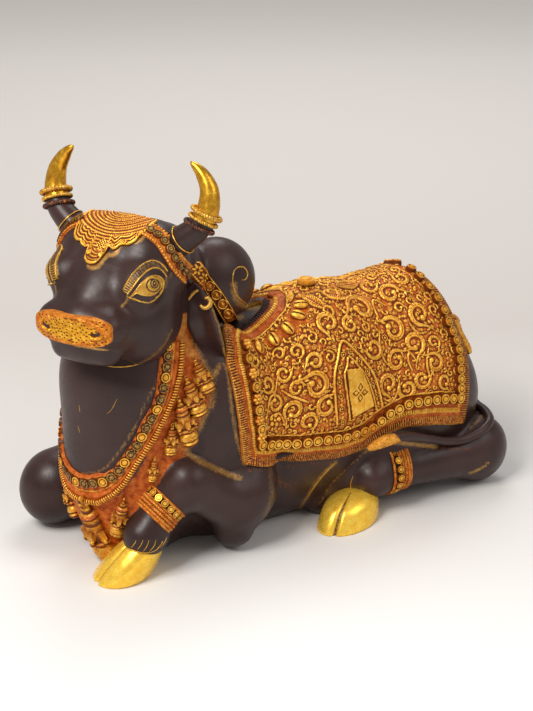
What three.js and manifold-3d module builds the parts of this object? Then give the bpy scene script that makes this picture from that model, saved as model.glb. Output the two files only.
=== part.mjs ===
// A resting Nandi bull, cast in brass as one piece: head turned to its left, one forehoof planted,
// hind leg folded, a fringed saddle cloth, necklace with bells, ringed horns, anklets and tail.
// Millimetres, +Z up. The bull faces -X, its left side is -Y, and it rests on Z = 0.
import * as THREE from "three";
import { mergeVertices } from "three/addons/utils/BufferGeometryUtils.js";
import Module from "manifold-3d";

const wasm = await Module();
wasm.setup();

// Driving dimensions
const LENGTH = 520; // from the muzzle to the hock
const DRAWN_LENGTH = 520; // the length that the places below were drawn at
const u = LENGTH / DRAWN_LENGTH;

const CLOTH_RISE = 4 * u; // how far the saddle cloth stands off the hide
const FRINGE_RISE = 2.4 * u; // how far its fringe does
const BEAD_RISE = 5.2 * u; // how far the beaded line inside the fringe does
const FRINGE = 12 * u; // width of the fringe along the edge
const BEAD_LINE = 5 * u; // width of the beaded line
const ROSETTE_INSET = 25 * u; // from the edge to the middle of the row of rosettes
const HEM_INSET = 33 * u; // from the hem up to the lowest row
const ROSETTE_PITCH = 12.6 * u;
const ROSETTE_RADIUS = 5.4 * u;
const CARVING_RISE = 2.6 * u; // height of bosses, scrolls and petals above their ground
const SINK = 7 * u; // how deep an applied form reaches into what carries it
const BELL_RADIUS = 8.5 * u; // of the bells at the side of the neck
const CENTRE_BELL_RADIUS = 16 * u; // of the large bell before the chest
const FACETS = 9600; // facets that the finished figure keeps
const CELL_BODY = 13 * u; // facet size of the large masses
const CELL_LEG = 10 * u;
const CELL_HEAD = 8 * u;

// Places on the bull are written for the drawn length and scaled here.
const at = (x, y, z) => new THREE.Vector3(x * u, y * u, z * u);

// The head is turned towards the bull's left about the poll.
const POLL = at(-125, 0, 0);
const HEAD_TURN = THREE.MathUtils.degToRad(29);
const AHEAD = new THREE.Vector3(-Math.cos(HEAD_TURN), -Math.sin(HEAD_TURN), 0);
const ASIDE = new THREE.Vector3(Math.sin(HEAD_TURN), -Math.cos(HEAD_TURN), 0);
const UP = new THREE.Vector3(0, 0, 1);
const onHead = (ahead, left, z) =>
  POLL.clone().addScaledVector(AHEAD, ahead * u).addScaledVector(ASIDE, left * u).setZ(z * u);

// Rounded masses: each gives the distance of a place from its surface, and keeps a box round itself.
const massOf = (distance, ...ends) =>
  Object.assign(distance, { box: new THREE.Box3().setFromPoints(ends) });
const spread = (centre, r) => [centre.clone().subScalar(r), centre.clone().addScalar(r)];

const BODY_AXES = [new THREE.Vector3(1, 0, 0), new THREE.Vector3(0, 1, 0), UP];
const HEAD_AXES = [AHEAD, ASIDE, UP];

// Axes pitched by an angle in the plane of the first axis and up: positive lifts the first axis.
function pitched(axes, degrees) {
  const a = THREE.MathUtils.degToRad(degrees);
  const [front, side, up] = axes;
  return [
    front.clone().multiplyScalar(Math.cos(a)).addScaledVector(up, Math.sin(a)),
    side,
    up.clone().multiplyScalar(Math.cos(a)).addScaledVector(front, -Math.sin(a)),
  ];
}

function egg(centre, radii, axes = BODY_AXES) {
  const r = radii.map((x) => x * u);
  return massOf((p) => {
    const dx = p.x - centre.x, dy = p.y - centre.y, dz = p.z - centre.z;
    let k0 = 0, k1 = 0;
    for (let i = 0; i < 3; i++) {
      const a = axes[i];
      const q = (dx * a.x + dy * a.y + dz * a.z) / r[i];
      k0 += q * q;
      k1 += (q / r[i]) ** 2;
    }
    k0 = Math.sqrt(k0);
    return k1 > 0 ? (k0 * (k0 - 1)) / Math.sqrt(k1) : -Math.min(...r);
  }, ...spread(centre, Math.max(...r)));
}

// A limb between two points, round, with a radius at each end.
function limb(a, b, ra, rb) {
  const ab = b.clone().sub(a);
  const length2 = ab.lengthSq();
  return massOf((p) => {
    const t = THREE.MathUtils.clamp(
      ((p.x - a.x) * ab.x + (p.y - a.y) * ab.y + (p.z - a.z) * ab.z) / length2, 0, 1);
    const dx = p.x - a.x - ab.x * t, dy = p.y - a.y - ab.y * t, dz = p.z - a.z - ab.z * t;
    return Math.hypot(dx, dy, dz) - (ra + (rb - ra) * t) * u;
  }, ...spread(a, ra * u), ...spread(b, rb * u));
}

const meltTwo = (a, b, k) => {
  const h = Math.max(k - Math.abs(a - b), 0) / k;
  return Math.min(a, b) - (h * h * k) / 4;
};
// Masses run into each other with a fillet of that reach.
const melt = (reach, ...masses) => massOf(
  (p) => masses.slice(1).reduce((d, mass) => meltTwo(d, mass(p), reach * u), masses[0](p)),
  ...masses.flatMap(({ box }) => [box.min, box.max]),
);
const mirrored = (make) => [make(1), make(-1)];

const trunk = melt(
  26,
  egg(at(62, 0, 118), [150, 84, 110]),
  egg(at(170, 0, 128), [82, 72, 97]),
  ...mirrored((s) => egg(at(170, 48 * s, 92), [80, 44, 70])),
  limb(at(-60, 0, 52), at(180, 0, 52), 60, 60),
  ...mirrored((s) => egg(at(-72, 36 * s, 135), [54, 42, 92])),
  egg(at(-142, 0, 124), [67, 60, 104]),
  egg(at(-138, 0, 62), [60, 50, 74]),
  limb(at(-144, 0, 190), at(-112, -4, 285), 62, 44),
);
const hump = egg(at(-44, 0, 258), [41, 33, 43], pitched(BODY_AXES, 20));
const bodyField = melt(10, trunk, hump);

const headEgg = (ahead, left, z, radii, pitch = 0) =>
  egg(onHead(ahead, left, z), radii, pitched(HEAD_AXES, pitch));
const headField = melt(
  12,
  limb(onHead(28, -24, 304), onHead(28, 24, 304), 40, 40),
  headEgg(64, 0, 288, [42, 42, 28], -35),
  limb(onHead(62, 0, 286), onHead(100, 0, 268), 30, 20),
  limb(onHead(106, -27, 266), onHead(106, 27, 266), 15, 15),
  limb(onHead(98, -22, 240), onHead(98, 22, 240), 12.5, 12.5),
  headEgg(72, 0, 245, [40, 34, 20]),
  ...mirrored((s) => headEgg(38, 26 * s, 255, [46, 30, 45])),
  ...mirrored((s) => headEgg(80, 22 * s, 262, [34, 23, 22])),
  ...mirrored((s) => headEgg(66, 38 * s, 295, [20, 17, 20])),
);

const foreLeft = melt(
  12,
  limb(at(-46, -46, 92), at(-52, -60, 60), 32, 31),
  limb(at(-52, -60, 60), at(-66, -63, 25), 31, 21),
  limb(at(-66, -62, 54), at(-118, -64, 88), 30, 24),
  limb(at(-118, -64, 88), at(-150, -61, 62), 23, 17),
  egg(at(-160, -60, 44), [20, 19, 19]),
);
const foreRight = melt(
  14,
  egg(at(-188, 82, 40), [34, 28, 36]),
  limb(at(-100, 72, 60), at(-182, 80, 46), 40, 34),
  limb(at(-180, 94, 20), at(-106, 98, 19), 20, 15),
  egg(at(-92, 98, 19), [17, 15, 17]),
);
const hind = (s) => melt(
  14,
  egg(at(234, 78 * s, 37), [34, 27, 36]),
  limb(at(231, 78 * s, 37), at(120, 76 * s, 41), 28, 20),
  egg(at(96, 78 * s, 38), [20, 19, 20]),
  limb(at(118, 58 * s, 60), at(48, 46 * s, 17), 30, 16),
);

// Corners of a grid cell, its edges and the corners round each of its faces
const CORNERS = [0, 1, 2, 3, 4, 5, 6, 7].map((c) => [c & 1, (c >> 1) & 1, c >> 2]);
const EDGES = CORNERS.flatMap((_, a) => [1, 2, 4].filter((bit) => !(a & bit)).map((bit) => [a, a | bit]));
const edgeOf = (a, b) => EDGES.findIndex(([p, q]) => p === Math.min(a, b) && q === Math.max(a, b));
const CELL_FACES = [1, 2, 4].flatMap((bit) => {
  const [s, t] = [1, 2, 4].filter((other) => other !== bit);
  return [0, bit].map((base) => [base, base | s, base | s | t, base | t]);
});

// Sheets of the surface inside one cell: the crossed edges that belong together.
function sheetsOf(values) {
  const sheet = EDGES.map((_, e) => e);
  const find = (e) => (sheet[e] === e ? e : find(sheet[e]));
  for (const face of CELL_FACES) {
    const inner = face.map((corner) => values[corner] < 0);
    const crossed = [0, 1, 2, 3].filter((i) => inner[i] !== inner[(i + 1) % 4]);
    const edge = (i) => edgeOf(face[i], face[(i + 1) % 4]);
    if (crossed.length === 2) sheet[find(edge(crossed[0]))] = find(edge(crossed[1]));
    if (crossed.length === 4)
      for (let i = 0; i < 4; i++) if (inner[i]) sheet[find(edge(i))] = find(edge((i + 3) % 4));
  }
  return EDGES.map((_, e) => find(e));
}

// Surface of a mass on a regular grid: a point for each sheet in each cell, joined by quads.
// Nothing is worked out deeper than a few cells below the ground.
function skin(field, cell) {
  const low = field.box.min.clone(), high = field.box.max;
  low.z = Math.max(low.z, -2 * cell);
  const [nx, ny, nz] = high.clone().sub(low).divideScalar(cell).toArray().map((n) => Math.ceil(n) + 4);
  const index = (i, j, k) => (k * ny + j) * nx + i;
  const value = new Float64Array(nx * ny * nz);
  const p = new THREE.Vector3();
  for (let k = 0; k < nz; k++)
    for (let j = 0; j < ny; j++)
      for (let i = 0; i < nx; i++) {
        p.set(low.x + (i - 1.5) * cell, low.y + (j - 1.5) * cell, low.z + (k - 1.5) * cell);
        value[index(i, j, k)] = field(p);
      }
  const cellPoints = new Map();
  const points = [];
  for (let k = 0; k < nz - 1; k++)
    for (let j = 0; j < ny - 1; j++)
      for (let i = 0; i < nx - 1; i++) {
        const v = CORNERS.map(([a, b, c]) => value[index(i + a, j + b, k + c)]);
        if (v.every((x) => x < 0) || v.every((x) => x >= 0)) continue;
        const sheet = sheetsOf(v), sums = new Map();
        EDGES.forEach(([a, b], e) => {
          if (v[a] < 0 === v[b] < 0) return;
          const t = v[a] / (v[a] - v[b]);
          const sum = sums.get(sheet[e]) ?? [0, 0, 0, 0];
          for (let axis = 0; axis < 3; axis++)
            sum[axis] += CORNERS[a][axis] * (1 - t) + CORNERS[b][axis] * t;
          sum[3]++;
          sums.set(sheet[e], sum);
        });
        const numbers = new Map();
        for (const [name, sum] of sums) {
          numbers.set(name, points.length / 3);
          [i, j, k].forEach((n, axis) =>
            points.push(low.getComponent(axis) + (n - 1.5 + sum[axis] / sum[3]) * cell));
        }
        cellPoints.set(index(i, j, k), sheet.map((name) => numbers.get(name)));
      }
  settle(points, field);
  const faces = [];
  const STEPS = [[1, 0, 0], [0, 1, 0], [0, 0, 1]];
  for (let k = 1; k < nz - 1; k++)
    for (let j = 1; j < ny - 1; j++)
      for (let i = 1; i < nx - 1; i++)
        for (let axis = 0; axis < 3; axis++) {
          const [di, dj, dk] = STEPS[axis];
          const here = value[index(i, j, k)] < 0;
          const there = value[index(i + di, j + dj, k + dk)] < 0;
          if (here === there) continue;
          const sAxis = (axis + 1) % 3, tAxis = (axis + 2) % 3;
          const s = STEPS[sAxis], t = STEPS[tAxis];
          const quad = [[1, 1], [0, 1], [0, 0], [1, 0]].map(([a, b]) => {
            const place = index(i - a * s[0] - b * t[0], j - a * s[1] - b * t[1], k - a * s[2] - b * t[2]);
            const corner = (a << sAxis) | (b << tAxis);
            return cellPoints.get(place)[edgeOf(corner, corner | (1 << axis))];
          });
          if (!here) quad.reverse();
          faces.push(quad[0], quad[1], quad[2], quad[0], quad[2], quad[3]);
        }
  return solidOf(points, faces);
}

// The way out of a mass at a place: the steepest rise of its distance.
function outward(field, p, step = 0.5 * u) {
  const d = new THREE.Vector3();
  for (let axis = 0; axis < 3; axis++) {
    const q = p.clone(), r = p.clone();
    q.setComponent(axis, p.getComponent(axis) + step);
    r.setComponent(axis, p.getComponent(axis) - step);
    d.setComponent(axis, (field(q) - field(r)) / (2 * step));
  }
  return d;
}

// Moves grid points onto the surface itself.
function settle(points, field) {
  for (let i = 0; i < points.length; i += 3) {
    const p = new THREE.Vector3(points[i], points[i + 1], points[i + 2]);
    const slope = outward(field, p);
    p.addScaledVector(slope, -0.7 * field(p) / Math.max(slope.lengthSq(), 0.3));
    [points[i], points[i + 1], points[i + 2]] = p.toArray();
  }
}

function solidOf(points, faces) {
  return new wasm.Manifold(
    new wasm.Mesh({
      numProp: 3,
      vertProperties: new Float32Array(points),
      triVerts: new Uint32Array(faces),
    }),
  );
}

// Six times the volume inside a closed shell, negative if its faces are listed inside out.
function sixVolumes(points, faces) {
  const corner = (f) => new THREE.Vector3().fromArray(points, 3 * faces[f]);
  let sum = 0;
  for (let f = 0; f < faces.length; f += 3) sum += corner(f).dot(corner(f + 1).cross(corner(f + 2)));
  return sum;
}

// A closed shell, turned outside out where its faces were listed the other way round.
function faced(points, faces) {
  if (sixVolumes(points, faces) < 0) faces.reverse();
  return solidOf(points, faces);
}

// A closed tube of elliptical rings: each station has a centre, a side and a thickness direction
// and the two radii along them.
function loft(stations, sides, squareness = 1) {
  const points = [], faces = [];
  for (const { centre, side, thick, rs, rt } of stations)
    for (let i = 0; i < sides; i++) {
      const a = (2 * Math.PI * i) / sides;
      const [c, s] = [Math.cos(a), Math.sin(a)].map((v) => Math.sign(v) * Math.abs(v) ** squareness);
      const p = centre.clone().addScaledVector(side, rs * c).addScaledVector(thick, rt * s);
      points.push(p.x, p.y, p.z);
    }
  for (let r = 0; r < stations.length - 1; r++)
    for (let i = 0; i < sides; i++) {
      const a = r * sides + i, b = r * sides + ((i + 1) % sides);
      faces.push(a, b, b + sides, a, b + sides, a + sides);
    }
  const first = points.length / 3, last = first + 1, ring = (stations.length - 1) * sides;
  const c0 = stations[0].centre, c1 = stations[stations.length - 1].centre;
  points.push(c0.x, c0.y, c0.z, c1.x, c1.y, c1.z);
  for (let i = 0; i < sides; i++) {
    const j = (i + 1) % sides;
    faces.push(first, j, i, last, ring + i, ring + j);
  }
  return faced(points, faces);
}

// Stations along a smooth path: radii are given at each of its points.
function stationsAlong(path, radii, steps, flat = 1, lean = UP) {
  const curve = new THREE.CatmullRomCurve3(path, false, "centripetal");
  const stations = [];
  for (let i = 0; i <= steps; i++) {
    const t = i / steps;
    const along = t * (radii.length - 1);
    const k = Math.min(Math.floor(along), radii.length - 2);
    const r = THREE.MathUtils.lerp(radii[k], radii[k + 1], along - k) * u;
    const tangent = curve.getTangent(t);
    const side = new THREE.Vector3().crossVectors(tangent, lean).normalize();
    const thick = new THREE.Vector3().crossVectors(side, tangent);
    stations.push({ centre: curve.getPoint(t), side, thick, rs: r, rt: r * flat });
  }
  return stations;
}

// A collar across a path at a place: bulging, seated on what it goes round.
function collar(centre, way, radius, rise, width, lean, bands = 1) {
  const axis = way.clone().normalize();
  const side = new THREE.Vector3().crossVectors(axis, lean).normalize();
  const thick = new THREE.Vector3().crossVectors(side, axis);
  const stations = [];
  for (let i = 0; i <= 2 * bands; i++) {
    const r = (radius + (i % 2 ? rise : rise * 0.35)) * u;
    const along = (i / (2 * bands) - 0.5) * width * u;
    stations.push({ centre: centre.clone().addScaledVector(axis, along), side, thick, rs: r, rt: r });
  }
  return loft(stations, 9);
}

const hornPath = (s) => [[26, 44, 318], [25, 61, 331], [22, 73, 341], [18, 79, 352], [15, 81.5, 362],
  [12, 80, 376], [11, 72, 389.5], [12.5, 62, 400]].map(([t, w, z]) => onHead(t, w * s, z));
function horn(s) {
  const path = hornPath(s);
  const rise = path[3].clone().sub(path[2]);
  return [
    loft(stationsAlong(path, [14, 13.5, 12.5, 11.5, 10.5, 9, 6.5, 2.5], 10, 1, AHEAD), 9),
    collar(path[2].clone().lerp(path[3], 0.15), rise, 12, 4, 6, AHEAD),
    collar(path[2].clone().lerp(path[3], 0.8), rise, 11.5, 5, 6.5, AHEAD),
  ];
}

function ear(s) {
  const path = [[2, 50, 276], [3, 60, 264], [5, 68, 242], [-4, 71, 219], [-28, 71, 193]]
    .map(([t, w, z]) => onHead(t, w * s, z));
  return loft(stationsAlong(path, [8, 13, 17, 14, 2], 6, 0.4, AHEAD), 8);
}

function tail() {
  const path = [at(236, 0, 120), at(256, -18, 92), at(260, -50, 74), at(252, -75, 66), at(234, -84, 64),
    at(213, -90, 67), at(181, -96, 69), at(151, -99, 76), at(115, -101, 89), at(91, -101, 90),
    at(67, -103, 88)];
  return loft(stationsAlong(path, [8, 8, 7, 7, 6, 5.5, 5, 5, 6, 9, 1.5], 17, 1, UP), 6);
}

// A hoof: flat on the ground, leaning back to the fetlock.
function hoof(base, top, turn, rBase, rTop) {
  const a = THREE.MathUtils.degToRad(turn);
  const side = new THREE.Vector3(Math.cos(a), Math.sin(a), 0);
  const thick = new THREE.Vector3(-Math.sin(a), Math.cos(a), 0);
  const stations = [-0.1, 0.2, 0.6, 1].map((t) => ({
    centre: base.clone().lerp(top, t), side, thick,
    rs: THREE.MathUtils.lerp(rBase[0], rTop[0], Math.max(t, 0) ** 1.6) * u,
    rt: THREE.MathUtils.lerp(rBase[1], rTop[1], Math.max(t, 0) ** 1.6) * u,
  }));
  return loft(stations, 10);
}

// Where a ray from inside a mass leaves it.
function drape(field, from, direction) {
  let inside = 0, outside = 6 * u;
  const p = new THREE.Vector3();
  const where = (d) => p.copy(from).addScaledVector(direction, d);
  while (field(where(outside)) < 0) {
    inside = outside;
    outside += 6 * u;
  }
  for (let i = 0; i < 12; i++) {
    const mid = (inside + outside) / 2;
    if (field(where(mid)) < 0) inside = mid;
    else outside = mid;
  }
  return where(outside).clone();
}

// Value of a table of [key, value] pairs at a key between its rows.
function read(table, key) {
  let i = 0;
  while (i < table.length - 2 && key > table[i + 1][0]) i++;
  const [[k0, v0], [k1, v1]] = [table[i], table[i + 1]];
  return THREE.MathUtils.lerp(v0, v1, THREE.MathUtils.clamp((key - k0) / (k1 - k0), 0, 1));
}

// The saddle cloth is laid over the trunk round an axis along the back. A place on it has an x and
// an angle from straight up, negative on the bull's left.
const AXIS_HEIGHT = 90;
function onCloth(x, degrees, lift) {
  const a = THREE.MathUtils.degToRad(degrees);
  const direction = new THREE.Vector3(0, Math.sin(a), Math.cos(a));
  return drape(trunk, at(x, 0, AXIS_HEIGHT), direction).addScaledVector(direction, lift);
}
// x of the front and rear edges for an angle, and the hem's angle for a share of the cloth's length
const CLOTH_FRONT = [[0, 28], [3, 15], [6, -18], [12, -50], [20, -68], [30, -74], [40, -72], [55, -69],
  [84, -63]];
const CLOTH_REAR = [[0, 200], [12, 208], [25, 217], [46, 222], [62, 215], [83, 208], [98, 202]];
const CLOTH_HEM = [[0, 84], [0.22, 95], [0.43, 101], [0.54, 99], [0.61, 92], [0.7, 88], [0.83, 91],
  [1, 98]];
const CLOTH_LENGTH = 270 * u; // along the back
const CLOTH_DROP = 175 * u; // from spine to hem over the side

// Place on the cloth for shares of its length and of its drop.
function clothPlace(a, b) {
  const degrees = b * read(CLOTH_HEM, a);
  const front = read(CLOTH_FRONT, Math.abs(degrees)), rear = read(CLOTH_REAR, Math.abs(degrees));
  return [THREE.MathUtils.lerp(front, rear, a), degrees];
}

// A thin closed skin over a grid of places, from a height above its carrier down into it.
function shell(columns, rows, place) {
  const points = [], faces = [];
  for (const side of [0, 1])
    for (const a of columns)
      for (const b of rows) points.push(...place(a, b, side).toArray());
  const n = rows.length, layer = columns.length * n;
  const index = (i, j, side) => side * layer + i * n + j;
  const quad = (a, b, c, d) => faces.push(a, b, c, a, c, d);
  for (let i = 0; i < columns.length - 1; i++)
    for (let j = 0; j < n - 1; j++) {
      quad(index(i, j, 0), index(i + 1, j, 0), index(i + 1, j + 1, 0), index(i, j + 1, 0));
      quad(index(i, j, 1), index(i, j + 1, 1), index(i + 1, j + 1, 1), index(i + 1, j, 1));
    }
  const last = columns.length - 1;
  for (let j = 0; j < n - 1; j++) {
    quad(index(0, j, 0), index(0, j + 1, 0), index(0, j + 1, 1), index(0, j, 1));
    quad(index(last, j + 1, 0), index(last, j, 0), index(last, j, 1), index(last, j + 1, 1));
  }
  for (let i = 0; i < last; i++) {
    quad(index(i + 1, 0, 0), index(i, 0, 0), index(i, 0, 1), index(i + 1, 0, 1));
    quad(index(i, n - 1, 0), index(i + 1, n - 1, 0), index(i + 1, n - 1, 1), index(i, n - 1, 1));
  }
  return faced(points, faces);
}

const steps = (from, to, count) =>
  Array.from({ length: count + 1 }, (_, i) => from + ((to - from) * i) / count);

// The cloth's profile from its edge inwards: fringe, beaded line, then the field.
const CLOTH_PROFILE = [[0, FRINGE_RISE], [FRINGE, FRINGE_RISE], [FRINGE + BEAD_LINE / 2, BEAD_RISE],
  [FRINGE + BEAD_LINE, CLOTH_RISE]];
const FIELD_COLUMNS = 9;
const FIELD_ROWS = 5; // on each side of the spine
function cloth() {
  const across = (share) => CLOTH_PROFILE.map(([inset]) => inset / share);
  const ends = across(CLOTH_LENGTH), hems = across(CLOTH_DROP);
  const field = [ends.at(-1), 1 - ends.at(-1)];
  const columns = [...ends.slice(0, -1), ...steps(...field, FIELD_COLUMNS + 1),
    ...ends.slice(0, -1).map((a) => 1 - a).reverse()];
  const drops = [...hems.slice(0, -1).map((b) => 1 - b), ...steps(1 - hems.at(-1), 0, FIELD_ROWS)];
  const rows = [...drops.map((b) => -b), ...drops.slice(0, -1).reverse()];
  return shell(columns, rows, (a, b, side) => {
    const [x, degrees] = clothPlace(a, b);
    const edge = Math.min(a * CLOTH_LENGTH, (1 - a) * CLOTH_LENGTH, (1 - Math.abs(b)) * CLOTH_DROP);
    return onCloth(x, degrees, side ? -SINK : read(CLOTH_PROFILE, edge));
  });
}

// A round boss standing on a surface.
function boss(centre, out, radius, rise, sides, crown = 0.5) {
  const side = new THREE.Vector3().crossVectors(out, Math.abs(out.x) > 0.8 ? UP : BODY_AXES[0]).normalize();
  const thick = new THREE.Vector3().crossVectors(out, side);
  const ring = (lift, r) =>
    ({ centre: centre.clone().addScaledVector(out, lift), side, thick, rs: r, rt: r });
  return loft([ring(-SINK, radius * 1.1), ring(rise, radius * crown)], sides);
}

function clothBoss(x, degrees, radius = ROSETTE_RADIUS, sides = 5, rise = CARVING_RISE) {
  const low = onCloth(x, degrees, 0), out = outward(trunk, low).normalize();
  return boss(low.clone().addScaledVector(out, CLOTH_RISE), out, radius, rise, sides);
}

// Shares of the drop where the upright rows of rosettes end
const FRONT_ROW_TOP = 0.3;
const REAR_ROW_TOP = 0.14;
function rosettes(s) {
  const made = [];
  const put = (a, b) => {
    const [x, degrees] = clothPlace(a, b);
    made.push(clothBoss(x, degrees * s));
  };
  const low = 1 - HEM_INSET / CLOTH_DROP, near = ROSETTE_INSET / CLOTH_LENGTH;
  const between = (share, whole) => Math.max(Math.round((share * whole) / ROSETTE_PITCH), 1);
  for (const a of steps(near, 1 - near, between(1 - 2 * near, CLOTH_LENGTH))) put(a, low);
  for (const [a, top] of [[near, FRONT_ROW_TOP], [1 - near, REAR_ROW_TOP]])
    for (const b of steps(low, top, between(low - top, CLOTH_DROP)).slice(1)) put(a, b);
  return made;
}

// An applied bead, cowrie or petal: an oval dome along the cloth.
function dome(x, degrees, length, width, turn, rise = CARVING_RISE) {
  const low = onCloth(x, degrees, 0), out = outward(trunk, low).normalize();
  const a = THREE.MathUtils.degToRad(turn);
  const along = BODY_AXES[0].clone().projectOnPlane(out).normalize();
  const across = new THREE.Vector3().crossVectors(out, along);
  const side = along.clone().multiplyScalar(Math.cos(a)).addScaledVector(across, Math.sin(a));
  const thick = new THREE.Vector3().crossVectors(out, side);
  const ring = (lift, share) => ({
    centre: low.clone().addScaledVector(out, CLOTH_RISE + lift), side, thick,
    rs: (length * share) / 2, rt: (width * share) / 2,
  });
  return loft([ring(-SINK, 1.1), ring(rise, 0.5)], 6);
}

// A scroll of the cloth's foliage, curling inwards.
const DRAWN_PER_DEGREE = 1.75; // length over the side of the cloth that one degree spans
const CURL = 320; // degrees that a scroll turns through
const SCROLL_RADII = [2.5, 4, 4.5, 4.2, 3.8, 3.4, 3, 3];
function scroll(x, degrees, radius, turn, hand) {
  const path = steps(0, 1, 7).map((t) => {
    const a = THREE.MathUtils.degToRad(turn + hand * CURL * t);
    const r = radius * (1 - 0.6 * t);
    return onCloth(x + r * Math.cos(a), degrees + (r * Math.sin(a)) / DRAWN_PER_DEGREE, CLOTH_RISE);
  });
  const out = outward(trunk, onCloth(x, degrees, 0)).normalize();
  return loft(stationsAlong(path, SCROLL_RADII, 9, 0.8, out), 4);
}

// The pointed arch low on the cloth: a raised frame round a plain plate.
const ARCH = [[45, 70], [44, 47], [52, 40], [64, 33], [78, 40], [93, 50], [100, 66]];
const ARCH_MIDDLE = [72, 55];
const ARCH_FRAME = 3.4; // radius of the frame
const PLATE_SHARE = 0.62; // size of the plate inside the frame
function archPanel(s) {
  const path = ARCH.map(([x, degrees]) => onCloth(x, degrees * s, CLOTH_RISE));
  const out = outward(trunk, onCloth(ARCH_MIDDLE[0], ARCH_MIDDLE[1] * s, 0)).normalize();
  const frame = loft(stationsAlong(path, ARCH.map(() => ARCH_FRAME), 8, 0.8, out), 4);
  const left = ARCH.slice(0, 4).map(([x, degrees]) => [degrees, x]).reverse();
  const right = ARCH.slice(3).map(([x, degrees]) => [degrees, x]);
  const plate = shell(steps(0, 1, 2), steps(0, 1, 3), (a, b, side) => {
    const degrees = THREE.MathUtils.lerp(right.at(-1)[0], ARCH[3][1] + 2, b);
    const x = THREE.MathUtils.lerp(read(left, degrees), read(right, degrees), a);
    const place = [x, degrees].map((v, i) => THREE.MathUtils.lerp(ARCH_MIDDLE[i], v, PLATE_SHARE));
    return onCloth(place[0], place[1] * s, side ? -SINK : CLOTH_RISE + CARVING_RISE / 2);
  });
  return [frame, plate];
}

// The chest is dressed round an upright axis. A place has an angle from straight ahead, positive to
// the bull's left, and a height.
const CHEST = [-142, 0];
const CHEST_TURN = 12; // the necklace's middle is turned with the head
function onChest(degrees, z, lift) {
  const a = THREE.MathUtils.degToRad(degrees);
  const direction = new THREE.Vector3(-Math.cos(a), -Math.sin(a), 0);
  return drape(bodyField, at(CHEST[0], CHEST[1], z), direction).addScaledVector(direction, lift);
}
// Height of the row of rosettes and of the corded rim for an angle from the middle.
const NECKLACE_ROW = [[0, 89], [18, 93], [34, 104], [45, 120], [55, 136], [68, 165], [77, 184],
  [84, 206], [96, 240]];
const NECKLACE_RIM = [[0, 70], [15, 73], [36, 84], [53, 107], [70, 136], [84, 160], [93, 181],
  [102, 206], [116, 240]];
const NECKLACE_END = 84; // angle where it passes under the head
// Its profile from the neck side outwards: share of its width and height above the hide
const NECKLACE_PROFILE = [[0, 2 * u], [0.74, 2.6 * u], [0.84, 5 * u], [1, 4.6 * u]];

function necklace() {
  return shell(steps(-1, 1, 20), NECKLACE_PROFILE.map(([share]) => share), (a, b, side) => {
    const angle = Math.abs(a) * NECKLACE_END;
    const row = read(NECKLACE_ROW, angle), rim = read(NECKLACE_RIM, angle);
    const spread = THREE.MathUtils.lerp(-0.45, 1.1, b);
    const z = THREE.MathUtils.lerp(row, rim, spread);
    const turn = angle * (1 + 0.1 * spread);
    return onChest(CHEST_TURN + Math.sign(a) * turn, z, side ? -SINK : read(NECKLACE_PROFILE, b));
  });
}

const NECKLACE_PITCH = 7.6; // degrees from one rosette to the next
function necklaceRosettes() {
  const made = [];
  for (const s of [1, -1])
    for (let i = s > 0 ? 0 : 1; i * NECKLACE_PITCH < NECKLACE_END; i++) {
      const angle = i * NECKLACE_PITCH;
      const z = read(NECKLACE_ROW, angle);
      const low = onChest(CHEST_TURN + s * angle, z, 0), out = outward(bodyField, low).normalize();
      made.push(boss(low.addScaledVector(out, NECKLACE_PROFILE[0][1]), out, ROSETTE_RADIUS, CARVING_RISE, 5));
    }
  return made;
}

// A hanging bell: a hook, a waisted body in tiers and a lip, as shares of its length and radius.
const BELL_PROFILE = [[0, 0.25], [0.28, 0.45], [0.36, 0.85], [0.7, 0.9], [0.82, 1.15], [1, 0.7]];
function bell(top, bottom, radius) {
  const axis = bottom.clone().sub(top);
  const side = new THREE.Vector3().crossVectors(axis, AHEAD).normalize();
  const thick = new THREE.Vector3().crossVectors(side, axis).normalize();
  return loft(BELL_PROFILE.map(([t, r]) => ({
    centre: top.clone().addScaledVector(axis, t), side, thick, rs: r * radius, rt: r * radius * 0.8,
  })), 6);
}
// Bells down each side: angle and height of the hook, of the lip, and size
const BELLS = [[112, 204, 112, 176, 1], [101, 190, 106, 156, 1.1], [92, 172, 100, 128, 1.15],
  [86, 148, 84, 120, 0.8], [69, 118, 66, 96, 0.6], [40, 76, 30, 38, 1]];
function bells() {
  const hung = (a0, z0, a1, z1, lift, radius) =>
    bell(onChest(CHEST_TURN + a0, z0, 0), onChest(CHEST_TURN + a1, z1, lift * u), radius);
  const made = [hung(6, 70, 8, 3, 8, CENTRE_BELL_RADIUS)];
  for (const s of [1, -1])
    for (const [a0, z0, a1, z1, size] of BELLS)
      made.push(hung(s * a0, z0, s * a1, z1, 2, BELL_RADIUS * size));
  return made;
}

// Forms carved on the head, in its own directions
const EYE = [70, 50, 299];
const EYE_RADII = [11, 8, 9];
function eye(s) {
  const lid = (path, radii) =>
    loft(stationsAlong(path.map(([t, w, z]) => onHead(t, w * s, z)), radii, 5, 0.8, UP), 4);
  return [
    lid([[88, 38, 292], [78, 45, 310], [65, 49, 319], [52, 57, 314], [46, 61, 304]], [1.5, 3.5, 4, 3.5, 1.5]),
    lid([[86, 40, 290], [76, 48, 286], [64, 54, 284], [53, 58, 294]], [1.2, 2.6, 2.6, 1.2]),
    skin(headEgg(EYE[0], EYE[1] * s, EYE[2], EYE_RADII), CELL_HEAD),
  ];
}
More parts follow.
